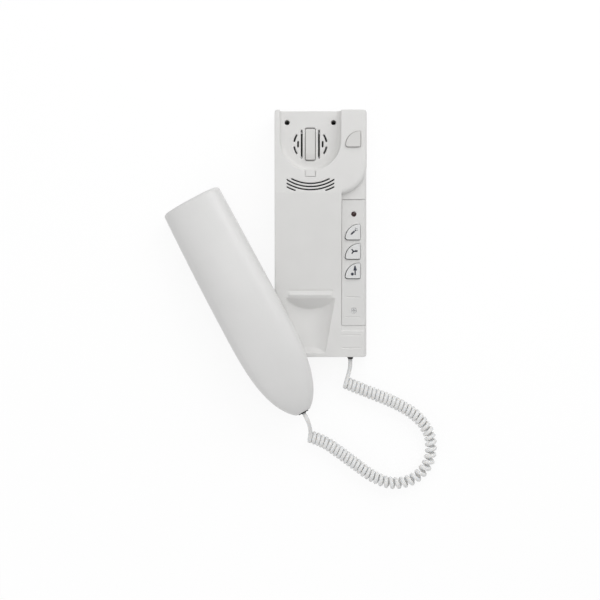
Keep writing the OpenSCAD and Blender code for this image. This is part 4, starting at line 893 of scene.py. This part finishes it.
@dataclass
class Handset:
    """The lifted handset: two smooth shells over the pieces inside."""

    form: HandsetForm
    arch_steps: int = 72
    fine_steps: int = 2000
    rim_crowding: int = 4
    end_steps: int = 10
    station_step: float = 1.6
    rim_r: float = 0.45
    rim_segments: int = 2
    rim_angle: float = 55.0
    face_end_strips: int = 10
    grille_s: float = 27.0
    grille_r: float = 15.1
    microphone_s: float = 191.0
    microphone_r: float = 1.0
    screw_s: tuple[float, float] = (66.0, 152.0)
    screw_r: float = 1.55
    head_r: float = 2.8
    head_depth: float = 1.8
    cut_room: float = 1.6
    hole_sides: int = 64
    bush_voxel: float = 0.00018
    bush_passes: int = 4

    def stations(self) -> list[float]:
        """Lists the places along the handset where its shells have a row of points."""
        end_r, steps = self.form.end_r, self.end_steps
        rounding = [end_r * (1 - math.cos(math.pi / 2 * k / steps)) for k in range(steps)]
        length = self.form.length - end_r
        count = round(length / self.station_step)
        return rounding + [end_r + length * k / count for k in range(count + 1)]

    def arch_angles(self, back: bool) -> list[float]:
        """Lists the angles of a row's points; the face's are even along its steep sides too.

        Args:
            back: True for the back shell, False for the face shell.

        Returns:
            Angles from 0 to pi.
        """
        if back:
            return [math.pi * k / self.arch_steps for k in range(self.arch_steps + 1)]
        power, half = self.form.face_power, self.arch_steps // 2
        count = self.fine_steps
        fine = [math.pi / 2 * (k / count) ** self.rim_crowding for k in range(count + 1)]
        along = [0.0]
        for a, b in zip(fine, fine[1:]):
            drop = (1 - math.cos(b) ** power) ** (1 / power) - (1 - math.cos(a) ** power) ** (1 / power)
            run = math.cos(a) - math.cos(b)
            along.append(along[-1] + math.hypot(self.form.width / 2 * run, self.form.ear_d * drop))
        quarter = [read_table(along[-1] * k / half, along, fine) for k in range(half)]
        return quarter + [math.pi / 2] + [math.pi - a for a in reversed(quarter)]

    def shell_mesh(self, name: str, back: bool) -> Mesh:
        """Lofts one half shell with its lining, closed at the earpiece end and open at the tip.

        Args:
            name: Name of the mesh.
            back: True for the back shell, False for the face shell.

        Returns:
            The shell's mesh in the row frame.
        """
        point = self.form.back_point if back else self.form.face_point
        pose = self.form.pose()
        rows = self.stations()
        n = self.arch_steps + 1
        angles = self.arch_angles(back)
        points: list[Vector] = []
        faces: list[Face] = []
        starts: list[int] = []
        for inset in (0.0, self.form.shell_t):
            starts.append(len(points))
            points += [pose @ point(s, a, inset) for s in rows for a in angles]
        for start in starts:
            for i in range(len(rows) - 1):
                for j in range(n - 1):
                    a = start + i * n + j
                    faces.append((a, a + 1, a + n + 1, a + n))
        outer, inner = starts
        for i in range(len(rows) - 1):
            for j in (0, n - 1):
                a = i * n + j
                faces.append((outer + a, outer + a + n, inner + a + n, inner + a))
        last = (len(rows) - 1) * n
        for j in range(n - 1):
            faces.append((outer + last + j, outer + last + j + 1, inner + last + j + 1, inner + last + j))
        strips = self.arch_steps // 2 if back else self.face_end_strips
        for start in starts:
            self.close_end(faces, start, n, strips)
        faces.append((outer, outer + n - 1, inner + n - 1, inner))
        return mesh_from(name, [p * MM for p in points], faces)

    @staticmethod
    def close_end(faces: list[Face], start: int, n: int, strips: int) -> None:
        """Closes a skin's flat earpiece end with strips from side to side and one face for what is left.

        Args:
            faces: Faces of the mesh, which the end's faces are added to.
            start: Number of the skin's first point.
            n: Points in a row.
            strips: Number of strips, counted from the rim.
        """
        for j in range(strips):
            a, b = start + j, start + n - 1 - j
            if a + 1 == b - 1:
                faces.append((a, a + 1, b))
            else:
                faces.append((a, a + 1, b - 1, b))
        if 2 * strips < n - 1:
            faces.append(tuple(range(start + strips, start + n - strips)))

    def shell(self, node: str, back: bool) -> Piece:
        """Builds a shell, eases the back's rims, which show, and lets it stand for its node.

        Args:
            node: CAD node of the shell.
            back: True for the back shell.

        Returns:
            The shell's piece.
        """
        piece = add_piece(node + "_moulding", self.shell_mesh(node + "_moulding", back), HANDSET_WHITE)
        if back:
            bevel = piece.modifiers.new("eased_rims", "BEVEL")
            bevel.width = self.rim_r * MM
            bevel.segments = self.rim_segments
            bevel.limit_method = "ANGLE"
            bevel.angle_limit = math.radians(self.rim_angle)
            apply_modifiers(piece)
        return stand_for(piece, node)

    def cut_face(self, shell: Piece) -> None:
        """Opens the face shell for the earpiece grille, the microphone and the two screws.

        Args:
            shell: The face shell's piece.
        """
        pose = self.form.pose()
        through = 2 * self.form.shell_t + self.cut_room
        holes = [
            (self.grille_s, -self.form.ear_d, self.grille_r, through),
            (self.microphone_s, -self.form.mouthpiece_d, self.microphone_r, through),
        ]
        for s in self.screw_s:
            level = self.form.parting(s) - self.form.grip_d
            holes += [(s, level, self.screw_r, through), (s, level, self.head_r, self.head_depth)]
        for s, level, radius, depth in holes:
            drill = bmesh.new()
            r = radius * MM
            bmesh.ops.create_cone(
                drill, cap_ends=True, segments=self.hole_sides, radius1=r, radius2=r, depth=depth * MM
            )
            mesh = bpy.data.meshes.new("cutter")
            drill.to_mesh(mesh)
            drill.free()
            cutter = bpy.data.objects.new("cutter", mesh)
            place = pose @ Matrix.Translation((0.0, -s, level))
            place.translation = place.translation * MM
            cutter.matrix_world = place
            bpy.context.scene.collection.objects.link(cutter)
            cut = shell.modifiers.new("hole", "BOOLEAN")
            cut.operation = "DIFFERENCE"
            cut.solver = "MANIFOLD"
            cut.object = cutter
            apply_modifiers(shell)
            bpy.data.objects.remove(cutter)
        merge_specks(shell.data)

    def build(self) -> None:
        """Builds the shells and dresses the pieces inside."""
        self.shell("handset_back_shell", True)
        self.cut_face(self.shell("handset_face_shell", False))
        for node, finish in HANDSET_FINISHES.items():
            dress(node, finish)
        moulded_copy("handset_bush", SOFT_BLACK, self.bush_voxel, self.bush_passes)


# Curly cord


@dataclass
class CurlyCord:
    """The curly cord from the wall unit's foot round to the handset's tip, in millimetres."""

    form: HandsetForm
    diameter: float = 3.0
    girth: float = 3.6
    end_r: float = 4.1
    mid_r: float = 3.6
    curls: int = 55
    draw_out: float = 1.6
    draw_from: float = 0.2
    draw_to: float = 0.82
    coil_gap: float = 0.3
    curl_rings: int = 20
    sides: int = 12
    route_steps: int = 8
    tail_steps: int = 14
    tail_pull: float = 20.0
    tip_pull_share: float = 1.2
    look_ahead: float = 1.0
    exit: Point = (26.9, -112.2, 9.7)
    tip_out: float = 1.1
    real_length: float = 1.43
    route: list[tuple[float, float]] = field(default_factory=lambda: [
        (23, -133.8), (33, -138), (43, -142), (53.5, -146), (64, -150.5), (75, -156), (86, -163.5),
        (93.5, -171.5), (98.5, -181), (100, -191), (99, -201), (95.5, -209.5), (89, -217), (81, -222),
        (71, -224.5), (61, -224), (52, -220.7), (43.4, -216), (34.1, -209.1), (24.6, -202.1),
        (15.1, -195.1), (5.4, -188.6), (-1.7, -185.2), (-9.4, -182.6),
    ])

    def axis_line(self) -> list[Vector]:
        """Runs a smooth line through the route's points.

        Returns:
            Points of the coil's axis on the bench.
        """
        p = [Vector((x, y, 0.0)) for x, y in self.route]
        n = len(p)
        line = []
        for i in range(n - 1):
            p0, p1, p2, p3 = p[max(i - 1, 0)], p[i], p[i + 1], p[min(i + 2, n - 1)]
            for k in range(self.route_steps):
                t = k / self.route_steps
                bend = (2 * p0 - 5 * p1 + 4 * p2 - p3) * t**2 + (3 * p1 - p0 - 3 * p2 + p3) * t**3
                line.append(0.5 * (2 * p1 + (p2 - p0) * t + bend))
        return line + [p[-1]]

    @staticmethod
    def hermite(p0: Vector, d0: Vector, p1: Vector, d1: Vector, t: float) -> Vector:
        """Point of a smooth bridge between two points with their directions."""
        start = (2 * t**3 - 3 * t**2 + 1) * p0 + (t**3 - 2 * t**2 + t) * d0
        return start + (3 * t**2 - 2 * t**3) * p1 + (t**3 - t**2) * d1

    def mid_line(self) -> tuple[list[Vector], list[Vector]]:
        """Winds the cord's mid line along the route, with a straight end at each bush.

        Returns:
            The line's points, and a direction across the line at each.
        """
        axis = self.axis_line()
        along = [0.0]
        for a, b in zip(axis, axis[1:]):
            along.append(along[-1] + (b - a).length)
        full = along[-1]
        share = [clamp01((a / full - self.draw_from) / (self.draw_to - self.draw_from)) for a in along]
        drawn = [math.sin(math.pi * s) ** 2 for s in share]
        wound = [0.0]
        for i in range(len(axis) - 1):
            wound.append(wound[-1] + (along[i + 1] - along[i]) / (1 + (self.draw_out - 1) * drawn[i]))
        turns = [self.curls * w / wound[-1] for w in wound]
        radii = [self.end_r + (self.mid_r - self.end_r) * math.sqrt(d) for d in drawn]
        xs, ys = [p.x for p in axis], [p.y for p in axis]

        def spot(a: float) -> tuple[float, float]:
            """Place of the axis at a length along it."""
            return read_table(a, along, xs), read_table(a, along, ys)

        helix: list[Vector] = []
        refs: list[Vector] = []
        for k in range(self.curls * self.curl_rings + 1):
            a = read_table(k / self.curl_rings, turns, along)
            x1, y1 = spot(min(a + self.look_ahead, full))
            x0, y0 = spot(max(a - self.look_ahead, 0.0))
            t = Vector((x1 - x0, y1 - y0, 0.0)).normalized()
            r = read_table(a, along, radii)
            angle = math.pi / 2 + 2 * math.pi * k / self.curl_rings
            middle = Vector((*spot(a), r + self.diameter / 2 + self.coil_gap))
            aside = r * math.cos(angle) * Vector((-t.y, t.x, 0.0))
            helix.append(middle + aside + Vector((0.0, 0.0, r * math.sin(angle))))
            refs.append(t)
        return self.with_tails(helix, refs)

    def with_tails(self, helix: list[Vector], refs: list[Vector]) -> tuple[list[Vector], list[Vector]]:
        """Joins the coil to its two bushes.

        Args:
            helix: Points of the coil.
            refs: Direction of the coil's axis at each point.

        Returns:
            The whole mid line, and a direction across it at each point.
        """
        pose = self.form.pose()
        out = (pose.to_3x3() @ Vector((0.0, -1.0, 0.0))).normalized()
        start = Vector(self.exit)
        start_run = start + Vector((0.0, -self.diameter, 0.0))
        end = pose @ Vector((0.0, -self.form.length - self.tip_out, self.form.tip_bush_w))
        end_run = end + self.diameter * out
        first = (helix[1] - helix[0]).normalized() * self.tail_pull
        last = (helix[-1] - helix[-2]).normalized() * self.tail_pull
        down = Vector((0.0, -self.tail_pull, 0.0))
        back = -self.tip_pull_share * self.tail_pull * out
        shares = [k / self.tail_steps for k in range(1, self.tail_steps)]
        lead_in = [self.hermite(start_run, down, helix[0], first, t) for t in shares]
        lead_out = [self.hermite(helix[-1], last, end_run, back, t) for t in shares]
        line = [start, start_run, *lead_in, *helix, *lead_out, end_run, end]
        sides = [refs[0]] * (len(lead_in) + 2) + refs + [refs[-1]] * (len(lead_out) + 2)
        return line, sides

    def build(self) -> None:
        """Builds the cord as one tube, which bends between the wall unit and the handset."""
        line, refs = self.mid_line()
        line = [p * MM for p in line]
        mesh = tube("curly_cord_coil", line, refs, self.girth / 2 * MM, self.sides)
        cord = add_piece("curly_cord_coil", mesh, CORD_WHITE)
        length = sum((b - a).length for a, b in zip(line, line[1:]))
        LOG.info("curly cord measures %.4f m", length)
        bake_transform(cord)
        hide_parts("curly_cord")


# Wall unit


INNER_FINISHES: dict[str, Finish] = {
    "dust_screen": GAUZE_BLACK,
    "circuit_board": BOARD_GREEN,
    "board_screws": PLATED_STEEL,
    "key_switches": BLACK_PLASTIC,
    "terminal_block": TERMINAL_GREEN,
    "terminal_screws": PLATED_STEEL,
    "capacitors": SLEEVE_BLUE,
    "audio_chip": BLACK_PLASTIC,
    "cord_header": CREAM_PLASTIC,
    "ringer_frame": PLATED_STEEL,
    "ringer_magnet": MAGNET_IRON,
    "ringer_leads": LEAD_RED,
    "hook_pin": PLATED_STEEL,
    "hook_switch": BLACK_PLASTIC,
    "trimmer_body": SLEEVE_BLUE,
    "trimmer_shaft": KEY_WHITE,
    "base_cord_leads": LEAD_RED,
}

DOME_FINISHES: dict[str, Finish] = {
    "indicator_lens": LENS_RED,
    "indicator_lamp": LAMP_RED,
    "ringer_cone": CONE_FILM,
}


@dataclass
class WallUnit:
    """The wall unit's mouldings and the pieces that they hold."""

    cover_voxel: float = 0.0004
    cover_passes: int = 8
    cover_keep: float = 0.12
    panel_voxel: float = 0.0003
    panel_passes: int = 4
    small_voxel: float = 0.00022
    small_passes: int = 5

    def build(self) -> None:
        """Builds the mouldings and dresses the pieces inside."""
        moulded_copy("front_cover", SHELL_WHITE, self.cover_voxel, self.cover_passes, self.cover_keep)
        moulded_copy("button_panel", PANEL_WHITE, self.panel_voxel, self.panel_passes)
        # The hook lever's darker white is painted shade.
        moulded_copy("hook_lever", SHADED_HOOK_WHITE, self.small_voxel, self.small_passes)
        moulded_copy("base_bush", SOFT_BLACK, self.small_voxel, self.small_passes)
        for node, finish in DOME_FINISHES.items():
            clean_copy(node, finish)
        dress("rear_plate", SHELL_WHITE)
        for node, finish in INNER_FINISHES.items():
            dress(node, finish)


@dataclass
class HookSpring:
    """The coil spring under the hook lever; keep works out how far it would shorten as the lever is
    pressed.
    """

    node: str = "hook_spring"
    joint: str = "hook_press"
    wire: float = 0.0005
    turns: int = 4
    points_per_turn: int = 32
    sides: int = 10
    flat_share: float = 0.12
    rest_gap: float = 0.00025
    least_gap: float = 0.0001

    def keep(self, middle: Vector, radius: float, height: float) -> float:
        """Works out the share of its height that the spring keeps under the pressed lever.

        Args:
            middle: Centre of the spring's foot.
            radius: Outer radius of the spring.
            height: Its height at rest.

        Returns:
            The share.
        """
        joints = frame["record"]["behaviour"]["joints"]
        hinge = next(j for j in joints if j["name"] == self.joint)
        arm = hinge["pos_m"][1] - middle.y + radius
        drop = arm * math.sin(math.radians(hinge["range_deg"][1]))
        return 1 - (drop - self.rest_gap + self.least_gap) / height

    def build(self) -> None:
        """Builds the coil with flat end turns."""
        low, high = (Vector(corner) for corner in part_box(self.node))
        radius = (high.x - low.x) / 2
        coil_r = radius - self.wire / 2
        foot = Vector(((low.x + high.x) / 2, (low.y + high.y) / 2, low.z))
        rise = high.z - low.z - self.wire
        steps = self.turns * self.points_per_turn
        line: list[Vector] = []
        for i in range(steps + 1):
            angle = 2 * math.pi * i / self.points_per_turn
            lift = clamp01((i / steps - self.flat_share) / (1 - 2 * self.flat_share))
            x, y = coil_r * math.cos(angle), coil_r * math.sin(angle)
            line.append(foot + Vector((x, y, self.wire / 2 + rise * lift)))
        mesh = tube("hook_spring_coil", line, [Vector((0, 0, 1))] * len(line), self.wire / 2, self.sides)
        spring = stand_for(add_piece("hook_spring_coil", mesh, PLATED_STEEL), self.node)
        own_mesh(spring)


class Sign(Enum):
    """Pictograms on the panel's buttons; each is a list of strokes and spots in millimetres.

    A stroke is its points with a width at each, and a spot is one point with its diameter.
    """

    LIGHT = (
        ((-1.9, -2.4, 0.6), (-1.1, -1.7, 1.5), (1.5, 0.7, 1.5)),
        ((1.9, 1.1, 1.2), (2.6, 1.8, 1.9)),
        ((3.2, 2.5, 0.6), (3.9, 3.2, 0.5)),
        ((3.5, 1.5, 0.6), (4.4, 1.6, 0.5)),
        ((2.2, 2.8, 0.6), (2.2, 3.7, 0.5)),
    )
    DOOR = (
        ((-1.2, 2.0, 1.0), (0.5, 0.0, 1.4), (4.1, 0.0, 1.3)),
        ((-1.0, -2.2, 1.0), (0.5, 0.0, 1.4)),
        ((2.5, 0.0, 0.8), (2.5, 1.3, 0.8)),
        ((3.7, 0.0, 0.8), (3.7, 1.2, 0.8)),
    )
    CALL = (
        ((-0.5, -3.0, 2.7),),
        ((1.9, 4.6, 0.8), (1.9, 3.2, 1.6), (2.0, 1.5, 2.5), (2.0, 0.6, 3.3), (2.0, 0.2, 3.3)),
        ((2.0, 0.2, 1.1), (2.0, -3.9, 1.1)),
    )


@dataclass
class Keys:
    """The four push buttons, three of them with a printed pictogram."""

    voxel: float = 0.0002
    passes: int = 6
    ink_depth: float = 0.00006
    ink_rise: float = 0.00003
    spot_sides: int = 20
    signs: dict[str, Sign] = field(default_factory=lambda: {
        "light_button": Sign.LIGHT, "door_button": Sign.DOOR, "call_button": Sign.CALL,
    })

    def outline(self, stroke: tuple[Point, ...]) -> list[tuple[float, float]]:
        """Draws a stroke's outline.

        Args:
            stroke: Points with their widths; one point alone is a round spot.

        Returns:
            The outline's corners in millimetres.
        """
        if len(stroke) == 1:
            x, y, width = stroke[0]
            angles = [2 * math.pi * k / self.spot_sides for k in range(self.spot_sides)]
            return [(x + width / 2 * math.cos(a), y + width / 2 * math.sin(a)) for a in angles]
        left: list[tuple[float, float]] = []
        right: list[tuple[float, float]] = []
        last = len(stroke) - 1
        for i, (x, y, width) in enumerate(stroke):
            before, after = stroke[max(i - 1, 0)], stroke[min(i + 1, last)]
            run = Vector((after[0] - before[0], after[1] - before[1])).normalized()
            left.append((x - run.y * width / 2, y + run.x * width / 2))
            right.append((x + run.y * width / 2, y - run.x * width / 2))
        return left + right[::-1]

    def print_sign(self, node: str, sign: Sign) -> None:
        """Prints a pictogram on a cap; the ink lies a little proud and rides with the cap.

        Args:
            node: CAD node of the button.
            sign: The pictogram.
        """
        low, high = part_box(node)
        middle = Vector(((low[0] + high[0]) / 2, (low[1] + high[1]) / 2, high[2]))
        points: list[Vector] = []
        faces: list[Face] = []
        for stroke in sign.value:
            corners = self.outline(stroke)
            n, start = len(corners), len(points)
            for rise in (-self.ink_depth, self.ink_rise):
                points += [middle + Vector((x * MM, y * MM, rise)) for x, y in corners]
            faces.append(tuple(start + k for k in range(n)))
            faces.append(tuple(start + n + k for k in range(n)))
            for k in range(n):
                after = (k + 1) % n
                faces.append((start + k, start + after, start + n + after, start + n + k))
        ink = add_piece(node + "_sign", mesh_from(node + "_sign", points, faces), PRINT_INK)
        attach(ink, body_of(node))
        LOG.info("piece %s printed on %s", ink.name, node)

    def build(self) -> None:
        """Builds the caps and prints their signs."""
        # The top button takes the hook's darker white: painted shade.
        moulded_copy("top_button", SHADED_HOOK_WHITE, self.voxel, self.passes)
        for node, sign in self.signs.items():
            moulded_copy(node, KEY_WHITE, self.voxel, self.passes)
            self.print_sign(node, sign)


def main() -> None:
    """Builds the studio, the cord, the handset and the wall unit in order."""
    logging.basicConfig(level=logging.INFO, format="%(name)s: %(message)s")
    form = HandsetForm()
    Studio().build()
    CurlyCord(form).build()
    Handset(form).build()
    WallUnit().build()
    HookSpring().build()
    Keys().build()


if __name__ == "__main__":
    main()
